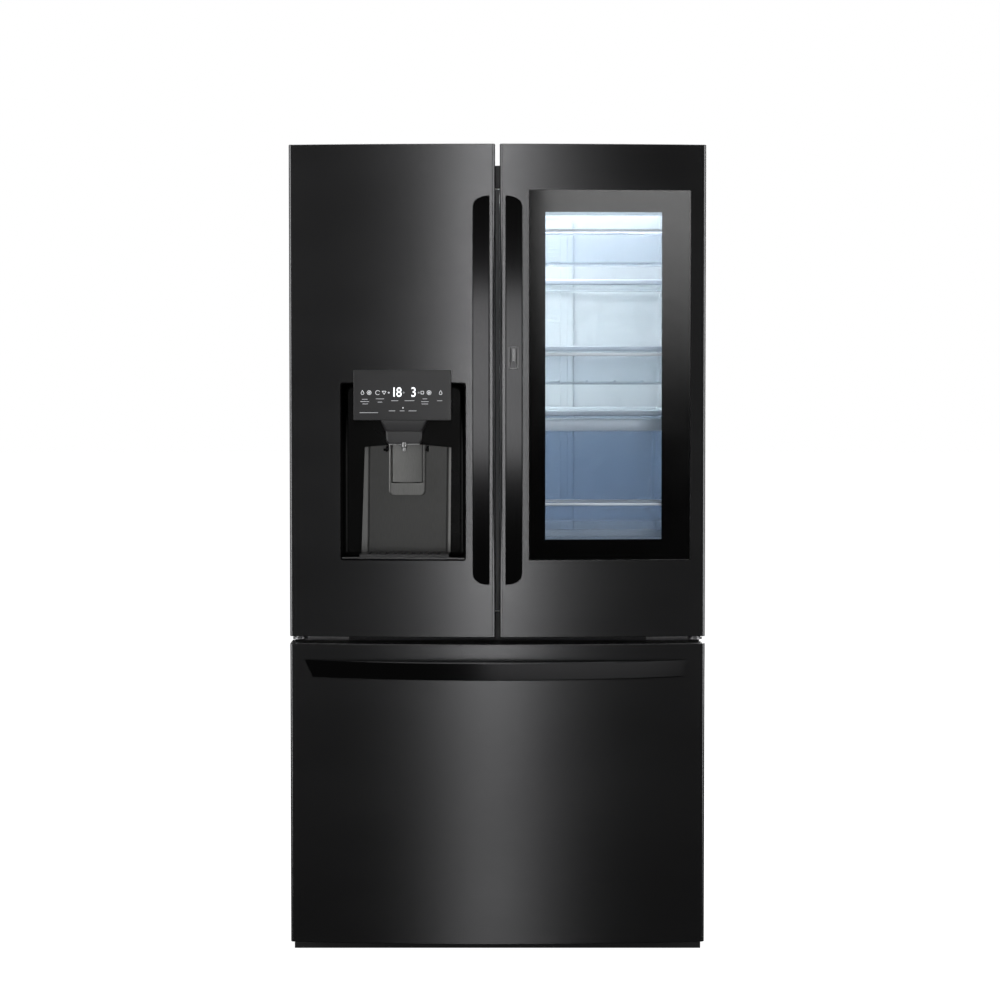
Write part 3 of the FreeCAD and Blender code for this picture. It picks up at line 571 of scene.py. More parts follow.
def fading_card(name, box, low, high, y, names):
    """A reflector card that is bright at its top and fades downwards, seen in the glass only."""
    x0, x1 = box
    bm = bmesh.new()
    loft(bm, [[(x0, y, low), (x1, y, low)], [(x0, y, high), (x1, y, high)]], (False, False), False)
    mesh = bpy.data.meshes.new(name)
    bm.to_mesh(mesh)
    bm.free()
    material = bpy.data.materials.new(name)
    material.use_nodes = True
    tree = material.node_tree
    tree.nodes.remove(tree.nodes["Principled BSDF"])
    glow = tree.nodes.new("ShaderNodeEmission")
    place = tree.nodes.new("ShaderNodeTexCoord")
    parts = tree.nodes.new("ShaderNodeSeparateXYZ")
    fade = tree.nodes.new("ShaderNodeMapRange")
    fade.interpolation_type = "SMOOTHERSTEP"
    fade.inputs["From Min"].default_value = low
    fade.inputs["From Max"].default_value = low + (high - low) * 0.55
    fade.inputs["To Min"].default_value = 0.0
    fade.inputs["To Max"].default_value = 8.5
    tree.links.new(place.outputs["Object"], parts.inputs["Vector"])
    tree.links.new(parts.outputs["Z"], fade.inputs["Value"])
    tree.links.new(fade.outputs["Result"], glow.inputs["Strength"])
    tree.links.new(glow.outputs["Emission"], tree.nodes["Material Output"].inputs["Surface"])
    mesh.materials.append(material)
    card = bpy.data.objects.new(name, mesh)
    bpy.context.scene.collection.objects.link(card)
    card.visible_camera = card.visible_diffuse = card.visible_transmission = card.visible_shadow = False
    only_for(card, names)
    card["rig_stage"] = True


def make_studio():
    make_world()
    make_floor()
    uprights, low_bar, panes = ["left_handle_bar", "right_handle_bar"], ["drawer_handle_bar"], ["window_outer_pane"]
    others = [thing.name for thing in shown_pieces() if thing.name not in uprights + low_bar + panes]
    only_for(area_light("front_strip_high", (-0.055, -5.6, 1.84), (0, 0, 1.84), 0.28, 3.5, 31), others)
    only_for(area_light("front_strip_low", (-0.055, -5.6, -1.31), (0, 0, -1.31), 0.4, 2.8, 9), others)
    only_for(area_light("handle_strip", (0, -5.6, 1.45), (0, 0, 1.45), 1.3, 2.9, 41), uprights)
    only_for(area_light("low_bar_strip", (2.5, -5.6, 1.0), (2.5, 0, 1.0), 5.6, 2.0, 55), low_bar)
    only_for(area_light("low_bar_top", (0, -2.6, 3.4), (0, -0.4, 0.6), 0.7, 0.5, 14), low_bar)
    only_for(area_light("glass_side", (0.2, -5.4, 3.4), (0.2, -0.4, 1.5), 0.5, 0.5, 1), panes)
    fading_card("glass_card", (0.45, 3.4), 0.9, 3.6, -5.5, panes)
    for side in (-1, 1):
        only_for(area_light("corner_%d" % (side + 1), (side * 4.1, -3.6, 1.3), (0, -0.3, 1.0), 2.2, 3.6, 120), others)
        area_light("side_%d" % (side + 1), (side * 4.5, -0.6, 1.6), (0, 0, 1.0), 1.8, 3.0, 45)
    inside = [thing.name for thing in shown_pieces() if SEEN_IN_WINDOW & set(thing.name.split("_"))]
    only_for(area_light("window_fill", (0.6, -5.0, 2.0), (0.2, 0, 1.2), 1.2, 1.2, 70), inside)
    area_light("overhead", (0, -0.4, 4.2), (0, 0, 1.7), 2.6, 1.8, 80)
    area_light("behind", (0.6, 4.5, 2.2), (0, 0.4, 1.0), 2.5, 2.5, 90)
    scene = bpy.context.scene
    scene.view_settings.view_transform = "Standard"
    scene.cycles.use_denoising = True
    scene.cycles.transparent_max_bounces = 64
    scene.cycles.max_bounces = 10


def make_cabinet_lights():
    """The lamps in the fridge ceiling and behind the shelves."""
    lo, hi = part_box("ceiling_light")
    area_light("ceiling_lamp", ((lo.x + hi.x) / 2, -0.04, lo.z - 0.004), (0, -0.04, 0), 0.5, 0.2, 3.4, LAMP_WHITE)
    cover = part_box("frame_cover")
    over_window = (0.23, cover[0].y - 0.02, cover[1].z - 0.03)
    area_light("window_lamp", over_window, (0.23, -0.27, 0.9), 0.3, 0.05, 1.6, LAMP_WHITE)
    for z in (1.19, 1.335, 1.48):
        area_light("shelf_lamp_%d" % round(z * 1000), (0, -0.05, z), (0, 0.35, z - 0.08), 0.7, 0.05, 0.8, LAMP_WHITE)
    area_light("low_lamp", (0, -0.1, 0.94), (0, 0.2, 0.8), 0.7, 0.05, 0.5, LAMP_WHITE)


# ---- bowed steel fronts ----

def door_section(x0, x1, back, marks, side_marks=()):
    """Plan of a door's skin from its back left edge round the front to its back right edge, as points with normals.
    marks are values of x on the front, and side_marks values of y on the sides, that must have a point."""
    def corner(side, x_edge):
        centre_x = x_edge - side * EDGE_R
        centre_y = DOOR_FRONT + BOW_R - math.sqrt((BOW_R - EDGE_R) ** 2 - centre_x ** 2)
        lean = math.atan2(centre_x, BOW_R)
        arc = []
        for k in range(7):
            angle = lean + (side * math.pi / 2 - lean) * k / 6
            normal = (math.sin(angle), -math.cos(angle))
            arc.append((centre_x + EDGE_R * normal[0], centre_y + EDGE_R * normal[1], *normal))
        return arc

    left, right = corner(-1, x0)[::-1], corner(1, x1)
    side = [back] + sorted(side_marks, reverse=True)
    places = between(left[-1][0], right[0][0], 0.014)[1:-1]
    places = sorted([x for x in places if all(abs(x - mark) > 0.003 for mark in marks)] + list(marks))
    front = [(x, front_y(x), x / BOW_R, -1) for x in places]
    return [(x0, y, -1, 0) for y in side] + left + front + right + [(x1, y, 1, 0) for y in side[::-1]]


def fold(z, way):
    """Height, inset and lean of the small round that turns the sheet's edge over."""
    steps = []
    for k in (0, 1, 2, 3):
        angle = math.radians(30 * k)
        steps.append((z + way * FOLD_R * (1 - math.cos(angle)), FOLD_R * (1 - math.sin(angle)), -way * math.cos(angle)))
    return steps


def steel_sheet(name, node, box, levels, missing, marks=(), side_marks=()):
    """A bowed skin with folded top and bottom edges. levels(x) lists the heights that cut the skin into bands,
    and missing(a, b, band) says whether the patch between two stations is left out."""
    x0, z0, x1, z1 = box[0].x, box[0].z, box[1].x, box[1].z
    bm = bmesh.new()
    facing = bm.verts.layers.float_vector.new("facing")
    stations = door_section(x0, x1, box[1].y, marks, side_marks)
    rows = []
    for x, y, nx, ny in stations:
        low = [(z0, FOLD_R * 6, -1)] + fold(z0, 1)
        high = fold(z1, -1)[::-1] + [(z1, FOLD_R * 6, 1)]
        column = []
        for z, inset, lean in low + [(z, 0, 0) for z in levels(x)] + high:
            vert = bm.verts.new((x - nx * inset, y - ny * inset, z))
            flat = math.sqrt(max(0.0, 1 - lean * lean))
            vert[facing] = (nx * flat, ny * flat, lean)
            column.append(vert)
        rows.append(column)
    first = len(fold(z0, 1))
    for i in range(len(rows) - 1):
        left, right = rows[i], rows[i + 1]
        for k in range(len(left) - 1):
            if not missing(stations[i], stations[i + 1], k - first):
                bm.faces.new((left[k], right[k], right[k + 1], left[k + 1]))
    bm.verts.index_update()
    loose = [vert for vert in bm.verts if not vert.link_faces]
    bmesh.ops.delete(bm, geom=loose, context="VERTS")
    bmesh.ops.recalc_face_normals(bm, faces=bm.faces)
    front = max(bm.faces, key=lambda face: face.calc_area())
    if front.normal.y > 0:
        bmesh.ops.reverse_faces(bm, faces=bm.faces)
    bmesh.ops.solidify(bm, geom=bm.faces[:], thickness=SKIN * 0.8)
    for vert in bm.verts:
        vert.co.x = min(max(vert.co.x, x0), x1)
        vert.co.z = min(max(vert.co.z, z0), z1)
    return piece(name, bm, frame["nodes"][node]["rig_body"], NODE_SLOT[node], STEEL, [node])


def corner_marks(x0, x1, radius):
    marks = []
    for k in range(6):
        step = radius * (1 - math.cos(math.radians(90 * k / 5)))
        marks += [x0 + step, x1 - step]
    return marks


def corner_drop(x, x0, x1, radius):
    """How far a hole's rounded corner comes in at x."""
    reach = min(max(min(x - x0, x1 - x), 0), radius)
    return radius - math.sqrt(radius ** 2 - (radius - reach) ** 2)


def left_front():
    (x0, _, z0), (x1, _, z1) = NICHE
    radius = 0.006
    step0, step1 = DISPLAY[0].x - 1e-5, DISPLAY[1].x + 1e-5

    def levels(x):
        drop = corner_drop(x, x0, x1, radius)
        top = DISPLAY[1].z if step0 <= x <= step1 else z1 - drop
        return [z0 + drop, top, NOTCH_FLOOR]

    def missing(a, b, band):
        in_hole = band == 1 and a[0] > x0 - 1e-6 and b[0] < x1 + 1e-6 and abs(a[3]) > 0.9 and abs(b[3]) > 0.9
        in_notch = band >= 3 and min(a[1], b[1]) > NOTCH_Y - 1e-4 and a[0] < -0.4
        return in_hole or in_notch

    marks = corner_marks(x0, x1, radius) + [step0 - 2e-4, step0, step1, step1 + 2e-4]
    steel_sheet("left_skin_sheet", "left_skin", LEFT, levels, missing, marks, [NOTCH_Y])


def leaf_front():
    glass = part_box("leaf_glass")
    x0, x1, z0, z1 = glass[0].x, glass[1].x, glass[0].z, glass[1].z
    radius = 0.003
    pockets = [(z + LEAF_POCKET_Z[0], z + LEAF_POCKET_Z[1]) for z in LEAF_HINGE_Z]

    def levels(x):
        drop = corner_drop(x, x0, x1, radius)
        return [*pockets[0], z0 + drop, z1 - drop, *pockets[1], NOTCH_FLOOR]

    def missing(a, b, band):
        in_hole = band == 3 and a[0] > x0 - 1e-6 and b[0] < x1 + 1e-6
        at_side = min(a[0], b[0]) > DOOR_HALF - 1e-4
        in_pocket = band in (1, 5) and at_side and min(a[1], b[1]) > LEAF_POCKET_Y - 1e-4
        in_notch = band >= 7 and at_side and min(a[1], b[1]) > NOTCH_Y - 1e-4
        return in_hole or in_pocket or in_notch

    marks = corner_marks(x0, x1, radius)
    steel_sheet("leaf_skin_sheet", "leaf_skin", RIGHT, levels, missing, marks, [NOTCH_Y, LEAF_POCKET_Y])


def drawer_front():
    steel_sheet("drawer_skin_sheet", "drawer_skin", DRAWER, lambda x: [], lambda a, b, band: False)


# ---- handles ----

def bar_loop(x0, x1, front, back, radius=0.0022):
    return round_rect(x0, x1, front, back, radius, 5)


def upright_handle(node, side):
    """A flat bar that bows away from the door. Its ends curve down towards the outer side."""
    lo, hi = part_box(node)
    x_in, x_out = (hi.x, lo.x) if side < 0 else (lo.x, hi.x)
    middle, half = (lo.z + hi.z) / 2, (hi.z - lo.z) / 2
    rise = DOOR_FRONT - lo.y
    radius = (half ** 2 + rise ** 2) / (2 * rise)
    thick = 0.015
    end_run = 0.024
    loops = []
    heights = [half - end_run * (k / 9) ** 2 for k in range(10)]
    heights += between(half - end_run, -half + end_run, 0.016)[1:-1]
    heights += [-h for h in heights[:10][::-1]]
    for h in heights:
        near_end = max(0.0, (abs(h) - (half - end_run)) / end_run)
        width = abs(x_out - x_in) * math.sqrt(max(0.0, 1 - near_end ** 2)) * 0.86 + abs(x_out - x_in) * 0.14
        edge = x_in + (x_out - x_in) / abs(x_out - x_in) * width
        front = lo.y + radius - math.sqrt(radius ** 2 - h ** 2)
        door = front_y((x_in + x_out) / 2) + 0.0004
        back = min(front + thick, door)
        a, b = min(x_in, edge), max(x_in, edge)
        outline = bar_loop(a, b, front, max(back, front + 0.0006))
        loops.append([(x, y, middle + h) for x, y in outline])
    bm = bmesh.new()
    loft(bm, loops)
    body = frame["nodes"][node]["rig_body"]
    return piece(node + "_bar", bm, body, NODE_SLOT[node], HANDLE, [node], 50)


def drawer_handle():
    lo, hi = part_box("drawer_handle")
    half = hi.x
    end_y = DOOR_FRONT + BOW_DEPTH * (half / DOOR_HALF) ** 2
    rise = end_y - lo.y
    radius = (half ** 2 + rise ** 2) / (2 * rise)
    slant = 0.017
    loops = []
    places = [-half + slant * (k / 8) for k in range(9)] + between(-half + slant, half - slant, 0.016)[1:-1]
    places += [half - slant * (1 - k / 8) for k in range(9)]
    for x in places:
        near_end = max(0.0, (abs(x) - (half - slant)) / slant)
        low = lo.z + (hi.z - lo.z) * 0.9 * near_end
        front = lo.y + radius - math.sqrt(radius ** 2 - x ** 2)
        back = min(front + 0.015, front_y(x) + 0.0004)
        outline = bar_loop(front, max(back, front + 0.0008), low, hi.z)
        loops.append([(x, y, z) for y, z in outline])
    bm = bmesh.new()
    loft(bm, loops)
    piece("drawer_handle_bar", bm, "drawer", NODE_SLOT["drawer_handle"], HANDLE, ["drawer_handle"], 50)


# ---- dispenser ----

def bowed_outline(box, inset, radius, y_of, steps=4, runs=12):
    """A rounded outline in the plane of the doors whose points lie at y_of(x)."""
    x0, x1, z0, z1 = box
    outline = round_rect(x0 + inset, x1 - inset, z0 + inset, z1 - inset, max(radius - inset, 0.0004), steps, runs)
    return [(x, y_of(x), z) for x, z in outline]


def dispenser_recess():
    lo, hi = NICHE
    box = (lo.x, hi.x, lo.z, hi.z)
    wall, deep, bend = TUB_WALL, hi.y - TUB_WALL, 0.012
    bm = bmesh.new()
    loops = [bowed_outline(box, 0, 0.006, lambda x: front_y(x) + 0.012)]
    loops.append(bowed_outline(box, 0, 0.006, lambda x: front_y(x) + 0.0003))
    loops.append(bowed_outline(box, 0.0008, 0.006, front_y))
    loops.append(bowed_outline(box, wall * 0.8, 0.007, front_y))
    loops.append(bowed_outline(box, wall, 0.008, lambda x: front_y(x) + 0.001))
    for k in range(6):
        angle = math.radians(90 * k / 5)
        inset = wall + bend * (1 - math.cos(angle))
        y = deep - bend * (1 - math.sin(angle))
        loops.append(bowed_outline(box, inset, 0.012 + inset, lambda x, y=y: y))
    loft(bm, loops, (False, True))
    for side in (-1, 1):
        x = PADDLE_X + side * 0.0445
        low, high = (x - 0.0025, PADDLE_Y - 0.005, PADDLE_Z - 0.004), (x + 0.0025, deep, PADDLE_Z + 0.008)
        block(bm, low, high, 0.003, 0.0008, "x")
    piece("dispenser_recess", bm, "left_door", "gloss_black", GLOSS, ["dispenser_tub"])


def dispenser_back_plate():
    """A dark steel plate at the back of the recess. Both edges turn towards the front, the left one more broadly."""
    x0, x1, z0, z1 = NICHE[0].x + 0.042, NICHE[1].x - 0.036, NICHE[0].z + 0.006, PADDLE_Z + 0.011
    back, bend, lean = NICHE[1].y - TUB_WALL - 0.0022, 0.020, math.radians(23)
    arc = [lean * k / 8 for k in range(9)]
    across, rise = bend * math.sin(lean), bend * (1 - math.cos(lean))

    def plan(left, right, left_flank, right_flank):
        inner0 = left + left_flank * math.cos(lean) + across
        inner1 = right - right_flank * math.cos(lean) - across
        points = [(left, back - rise - left_flank * math.sin(lean))]
        points += [(inner0 - bend * math.sin(a), back - bend * (1 - math.cos(a))) for a in arc[::-1]]
        points += [(x, back) for x in between(inner0, inner1, 0.012)[1:-1]]
        points += [(inner1 + bend * math.sin(a), back - bend * (1 - math.cos(a))) for a in arc]
        return points + [(right, back - rise - right_flank * math.sin(lean))]

    low, high = plan(x0, x1, 0.013, 0.004), plan(x0 + 0.008, x1 + 0.002, 0.007, 0.003)
    middle, half = (x0 + x1) / 2, (x1 - x0) / 2
    bm = bmesh.new()
    rows = [[(x, y, z0) for x, y in low]]
    rows.append([(x, y, z1 - 0.006 * ((x - middle) / half) ** 2 - 0.001) for x, y in high])
    rows.append([(x, y + 0.0008, z1 - 0.006 * ((x - middle) / half) ** 2) for x, y in high])
    loft(bm, rows, (False, False), False)
    bmesh.ops.recalc_face_normals(bm, faces=bm.faces)
    bmesh.ops.solidify(bm, geom=bm.faces[:], thickness=0.001)
    piece("dispenser_back_plate", bm, "left_door", "dark_steel", BACK_STEEL)


def quarter(steps=7):
    return [math.radians(90 * k / steps) for k in range(steps + 1)]


def dispenser_sill():
    """The bright strip along the recess's lower edge."""
    lo, hi = NICHE
    loops = []
    for x in between(lo.x + 0.004, hi.x - 0.004, 0.012):
        y = front_y(x)
        loops.append([(x, y - 0.0003 + dy, lo.z + TUB_WALL - 0.0002 + dz) for dy, dz in
                      ((0.0008, 0), (0, 0.0008), (0, 0.0028), (0.0012, 0.004), (0.010, 0.0044), (0.010, 0))])
    bm = bmesh.new()
    loft(bm, loops)
    piece("dispenser_sill", bm, "left_door", "dark_steel", SILL_STEEL, crease=50)


def display():
    lo, hi = DISPLAY
    box = (lo.x, hi.x, lo.z, hi.z)

    def face(x, sink=0.0):
        return front_y(x, -0.004) + sink

    bm = bmesh.new()
    loops = [bowed_outline(box, 0, 0.0018, lambda x: hi.y), bowed_outline(box, 0, 0.0018, lambda x: face(x, 0.0010))]
    loops.append(bowed_outline(box, 0.0003, 0.0018, lambda x: face(x, 0.0004)))
    loops.append(bowed_outline(box, 0.0010, 0.0018, face))
    for inset in (0.012, 0.03, 0.045, 0.0544):
        loops.append(bowed_outline(box, inset, 0.0018, face))
    loft(bm, loops)
    piece("display_front", bm, "left_door", "gloss_black", DISPLAY_GREY, ["display_panel"])
    display_digits(face)
    display_marks(face)


def display_digits(face):
    """The set temperatures of the freezer and the fridge."""
    for name, text, x in (("digits_freezer", "18", -0.2185), ("digits_fridge", "3", -0.1815)):
        font = bpy.data.curves.new(name, "FONT")
        font.body = text
        font.size = DIGIT_SIZE
        font.align_x = "CENTER"
        font.align_y = "CENTER"
        font.extrude = 0.00012
        font.offset = 0.0003
        font.space_character = DIGIT_SQUEEZE
        shape = bpy.data.objects.new(name + "_outline", font)
        bpy.context.scene.collection.objects.link(shape)
        mesh = bpy.data.meshes.new_from_object(shape.evaluated_get(bpy.context.evaluated_depsgraph_get()))
        bpy.data.objects.remove(shape)
        bm = bmesh.new()
        bm.from_mesh(mesh)
        bmesh.ops.remove_doubles(bm, verts=bm.verts, dist=1e-6)
        for vert in bm.verts:
            px, pz = x + vert.co.x * DIGIT_SQUEEZE, DISPLAY[0].z + DISPLAY_ROW + vert.co.y
            vert.co = (px, face(px) - 0.0001 - vert.co.z, pz)
        piece(name, bm, "left_door", "light", GLYPH)


def flat_mark(bm, face, points, x, z, width):
    """A thin raised line through points given round a centre."""
    for (u0, v0), (u1, v1) in zip(points, points[1:]):
        along = Vector((u1 - u0, v1 - v0))
        across = Vector((-along.y, along.x)).normalized() * width / 2
        corners = [(u0 - across.x, v0 - across.y), (u1 - across.x, v1 - across.y), (u1 + across.x, v1 + across.y),
                   (u0 + across.x, v0 + across.y)]
        rows = []
        for lift in (0.0, 0.0002):
            rows.append([(x + u, face(x + u) - lift, z + v) for u, v in corners])
        loft(bm, rows)


def circle(radius, start=0, end=360, steps=14):
    spots = [math.radians(start + (end - start) * k / steps) for k in range(steps + 1)]
    return [(radius * math.cos(a), radius * math.sin(a)) for a in spots]


def display_marks(face):
    """Plain symbols beside the digits, with plain bars where captions would be."""
    bright, dim = bmesh.new(), bmesh.new()
    row = DISPLAY[0].z + DISPLAY_ROW
    left = DISPLAY[0].x
    cube = [(-0.003, -0.003), (0.003, -0.003), (0.003, 0.003), (-0.003, 0.003), (-0.003, -0.003)]
    drop = [(0, 0.0048), (-0.0032, -0.001), (-0.002, -0.004), (0.002, -0.004), (0.0032, -0.001), (0, 0.0048)]
    fan = [(-0.0042, 0.003), (0, -0.004), (0.0042, 0.003), (-0.0042, 0.003)]
    signs = ((0.0195, drop), (0.034, circle(0.0044)), (0.0525, circle(0.0046, 20, 320)), (0.0665, fan),
             (0.0765, circle(0.0015, steps=8)), (0.109, circle(0.0014, steps=8)), (0.1415, circle(0.0014, steps=8)),
             (0.1495, cube), (0.164, circle(0.0044)), (0.189, drop))
    for dx, sign in signs:
        flat_mark(dim if dx in (0.109, 0.1415) else bright, face, sign, left + dx, row, 0.0009)
    flat_mark(bright, face, circle(0.0018), left + 0.034, row, 0.0012)
    flat_mark(bright, face, circle(0.0018), left + 0.164, row, 0.0012)
    flat_mark(bright, face, [(-0.0012, 0), (0.0012, 0)], left + 0.1075, row - 0.033, 0.0022)
    bars = ((0.0245, -0.0145, 0.012), (0.0245, -0.0195, 0.019), (0.0255, -0.0245, 0.012), (0.0575, -0.0135, 0.018),
            (0.0575, -0.0205, 0.010), (0.0895, -0.0175, 0.015), (0.1215, -0.0175, 0.021), (0.155, -0.0135, 0.010),
            (0.155, -0.0195, 0.016), (0.155, -0.0245, 0.014), (0.187, -0.0175, 0.011), (0.0835, -0.0395, 0.014),
            (0.1055, -0.0395, 0.010), (0.128, -0.0395, 0.017), (0.033, -0.0435, 0.040))
    for dx, dz, length in bars:
        flat_mark(dim, face, [(-length / 2, 0), (length / 2, 0)], left + dx, row + dz, 0.0011)
    piece("display_symbols", bright, "left_door", "light", GLYPH_SOFT)
    piece("display_captions", dim, "left_door", "light", GLYPH_DIM)


def dispenser_chute():
    """The ice chute, narrower towards its mouth in two steps, with the water nozzle and a bright bar under it."""
    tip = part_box("dispenser_spouts")[0].z
    x, top, mouth = DISPENSE_X, DISPLAY[0].z, CHUTE_MOUTH
    bm = bmesh.new()
    stages = ((top, 0.0505, -0.392), (top - 0.004, 0.0495, -0.392), (top - 0.013, 0.0455, -0.391),
              (top - 0.023, 0.0412, -0.3885), (top - 0.0245, 0.0408, -0.3835), (1.145, 0.0400, -0.3825),
              (1.139, 0.0385, -0.382), (mouth + 0.001, 0.0350, -0.3815), (mouth, 0.0340, -0.381),
              (mouth, 0.0300, -0.378), (mouth + 0.012, 0.0270, -0.374))
    loops = []
    for z, half, front in stages:
        back = -0.348 if half > 0.031 else -0.353
        loops.append([(px, py, z) for px, py in round_rect(x - half, x + half, front, back, 0.006, 5)])
    loft(bm, loops, (True, True))
    nozzle = [(0.0062, 0.020), (0.0062, 0.010), (0.0046, 0.008), (0.0044, 0.0008)]
    nozzle += [(0.0038, 0.0), (0.0026, 0.0), (0.0024, 0.008)]
    piece("ice_chute", bm, "left_door", "black_plastic", CHUTE_GREY, ["dispenser_spouts"], crease=28)
    bm = bmesh.new()
    spun(bm, nozzle, (x, -0.3765, tip + 0.003), "z", 24)
    block(bm, (x - 0.0335, -0.3838, mouth - 0.0010), (x + 0.0335, -0.3780, mouth + 0.0012), 0.0006, 0.0005, "x")
    piece("water_nozzle", bm, "left_door", "hinge_steel", NOZZLE)


def paddle():
    """A lever with a shallow dish, and below it a lip that stands forward."""
    lo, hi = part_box("dispenser_paddle")
    half, bottom, top, bend = 0.040, lo.z, PADDLE_Z + 0.011, 0.010
    rim, deep, lip = 0.0050, 0.0042, bottom + 0.027
    bm = bmesh.new()
    rows = []
    heights = [bottom + bend * (1 - math.cos(a)) for a in quarter(6)]
    heights += between(bottom + bend, lip - 0.001, 0.004)[1:] + [lip - 0.0004, lip, lip + 0.0006, lip + 0.0016]
    heights += between(lip + 0.0016, top, 0.006)[1:]
    spots = [-1, -0.985, -0.95] + [u / 100 for u in (-89, -87, -85, -80, -70, -55, -40, -20)]
    spots = spots + [0] + [-u for u in spots[::-1]]
    for z in heights:
        low = max(0.0, bottom + bend - z)
        reach = half - bend + math.sqrt(max(0.0, bend ** 2 - low ** 2))
        sag = 0.0025 * (abs(z - lip) < 0.02)
        row = []
        for u in spots:
            px = u * reach
            edge = 0.0012 * max(0.0, (abs(u) - 0.95) / 0.05) ** 2
            side = min(1.0, max(0.0, (half - rim - abs(px)) / 0.0022))
            over = min(1.0, max(0.0, (z - lip + sag * (1 - (px / half) ** 2) * 0.4) / 0.0015))
            dish = deep * (1 - 0.25 * (px / half) ** 2) * side * over
            row.append((PADDLE_X + px, PADDLE_Y - 0.003 + dish + edge, z))
        rows.append(row)
    loft(bm, rows, (False, False), False)
    bmesh.ops.recalc_face_normals(bm, faces=bm.faces)
    if bm.faces[len(bm.faces) // 2].normal.y > 0:
        bmesh.ops.reverse_faces(bm, faces=bm.faces)
    bmesh.ops.solidify(bm, geom=bm.faces[:], thickness=0.0022)
    for start, end in ((lo.x - PADDLE_X, 0.003 - half), (half - 0.003, hi.x - PADDLE_X)):
        spun(bm, [(0.0025, start), (0.0025, end)], (PADDLE_X, PADDLE_Y + 0.0005, PADDLE_Z), "x", 20, 1)
    piece("dispenser_lever", bm, "paddle", "black_plastic", [PADDLE_METAL, GLOSS], ["dispenser_paddle"], crease=35)


# ---- window leaf ----

def window_panes():
    """The outer pane, printed black round the clear window, and the inner pane."""
    lo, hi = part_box("leaf_glass")
    gap = 0.0005
    x0, x1, z0, z1 = lo.x + gap, hi.x - gap, lo.z + gap, hi.z - gap
    xs = sorted(set(between(x0, CLEAR_X[0], 0.012) + between(*CLEAR_X, 0.012) + between(CLEAR_X[1], x1, 0.012)))
    zs = [z0, *CLEAR_Z, z1]
    bm = bmesh.new()
    facing = bm.verts.layers.float_vector.new("facing")
    grid = []
    for x in xs:
        column = []
        for z in zs:
            vert = bm.verts.new((x, front_y(x), z))
            vert[facing] = (x / BOW_R, -1, 0)
            column.append(vert)
        grid.append(column)
    for i in range(len(xs) - 1):
        for k in range(3):
            face = bm.faces.new((grid[i][k], grid[i + 1][k], grid[i + 1][k + 1], grid[i][k + 1]))
            inside = k == 1 and CLEAR_X[0] - 1e-6 < (xs[i] + xs[i + 1]) / 2 < CLEAR_X[1]
            face.material_index = 1 if inside else 0
    bmesh.ops.solidify(bm, geom=bm.faces[:], thickness=0.0036)
    piece("window_outer_pane", bm, "leaf", "door_glass", [PRINT_BLACK, WINDOW_GLASS], ["leaf_glass"])
    bm = bmesh.new()
    block(bm, (0.0885, -0.347, 0.9135), (0.3715, -0.343, 1.6515), 0.004, 0.0006, "y")
    piece("window_inner_pane", bm, "leaf", "door_glass", WINDOW_GLASS)


def latch():
    """The button that opens the leaf, in a shallow bezel on the handle."""
    lo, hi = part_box("latch_button")
    bm = bmesh.new()
    loops = []
    box = (lo.x, hi.x, lo.z, hi.z)
    for inset, y in ((0, hi.y), (0, lo.y + 0.0012), (0.0004, lo.y + 0.0004), (0.0012, lo.y), (0.003, lo.y),
                     (0.0042, lo.y + 0.0008), (0.0075, lo.y + 0.0009)):
        loops.append(bowed_outline(box, inset, 0.003, lambda x, y=y: y, runs=1))
    loft(bm, loops)
    piece("latch_button_cap", bm, "button", "handle_metal", BUTTON_STEEL, ["latch_button"])


# ---- seals and door backs ----

def ring_profile(bm, box, profile, radius=0.012, mat=0):
    """A closed ring round a rectangle in the plane of the doors. The profile is (inset, y) points."""
    x0, x1, z0, z1 = box
    loops = []
    for inset, y in profile + profile[:1]:
        outline = round_rect(x0 + inset, x1 - inset, z0 + inset, z1 - inset, max(radius - inset * 0.4, 0.003), 4)
        loops.append([(x, y, z) for x, z in outline])
    loft(bm, loops, (False, False), mat=mat)
    bmesh.ops.remove_doubles(bm, verts=bm.verts, dist=1e-7)


def seal(node, width):
    """A magnetic seal: a flat band against the door, one bellows fold and a hollow nose."""
    lo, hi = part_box(node)
    y0, y1 = lo.y, hi.y
    deep = y1 - y0
    profile = [(0.0, y0), (0.0, y0 + deep * 0.16), (width * 0.16, y0 + deep * 0.24), (width * 0.05, y0 + deep * 0.42),
               (width * 0.02, y0 + deep * 0.6), (width * 0.02, y1 - deep * 0.1), (width * 0.08, y1), (width * 0.92, y1),
               (width * 0.98, y1 - deep * 0.1), (width * 0.98, y0 + deep * 0.62), (width * 0.84, y0 + deep * 0.42),
               (width * 0.90, y0 + deep * 0.22), (width * 0.96, y0 + deep * 0.14), (width * 0.96, y0)]
    bm = bmesh.new()
    ring_profile(bm, (lo.x, hi.x, lo.z, hi.z), profile)
    if node == "right_gasket":
        fin = (y0 + y1) / 2
        block(bm, (0.00434, fin - 0.001, lo.z + 0.007), (lo.x + 0.002, fin + 0.0008, hi.z - 0.007), 0.0006, 0.0003)
    piece(node + "_bellows", bm, frame["nodes"][node]["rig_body"], "gasket", RUBBER, [node], 50)


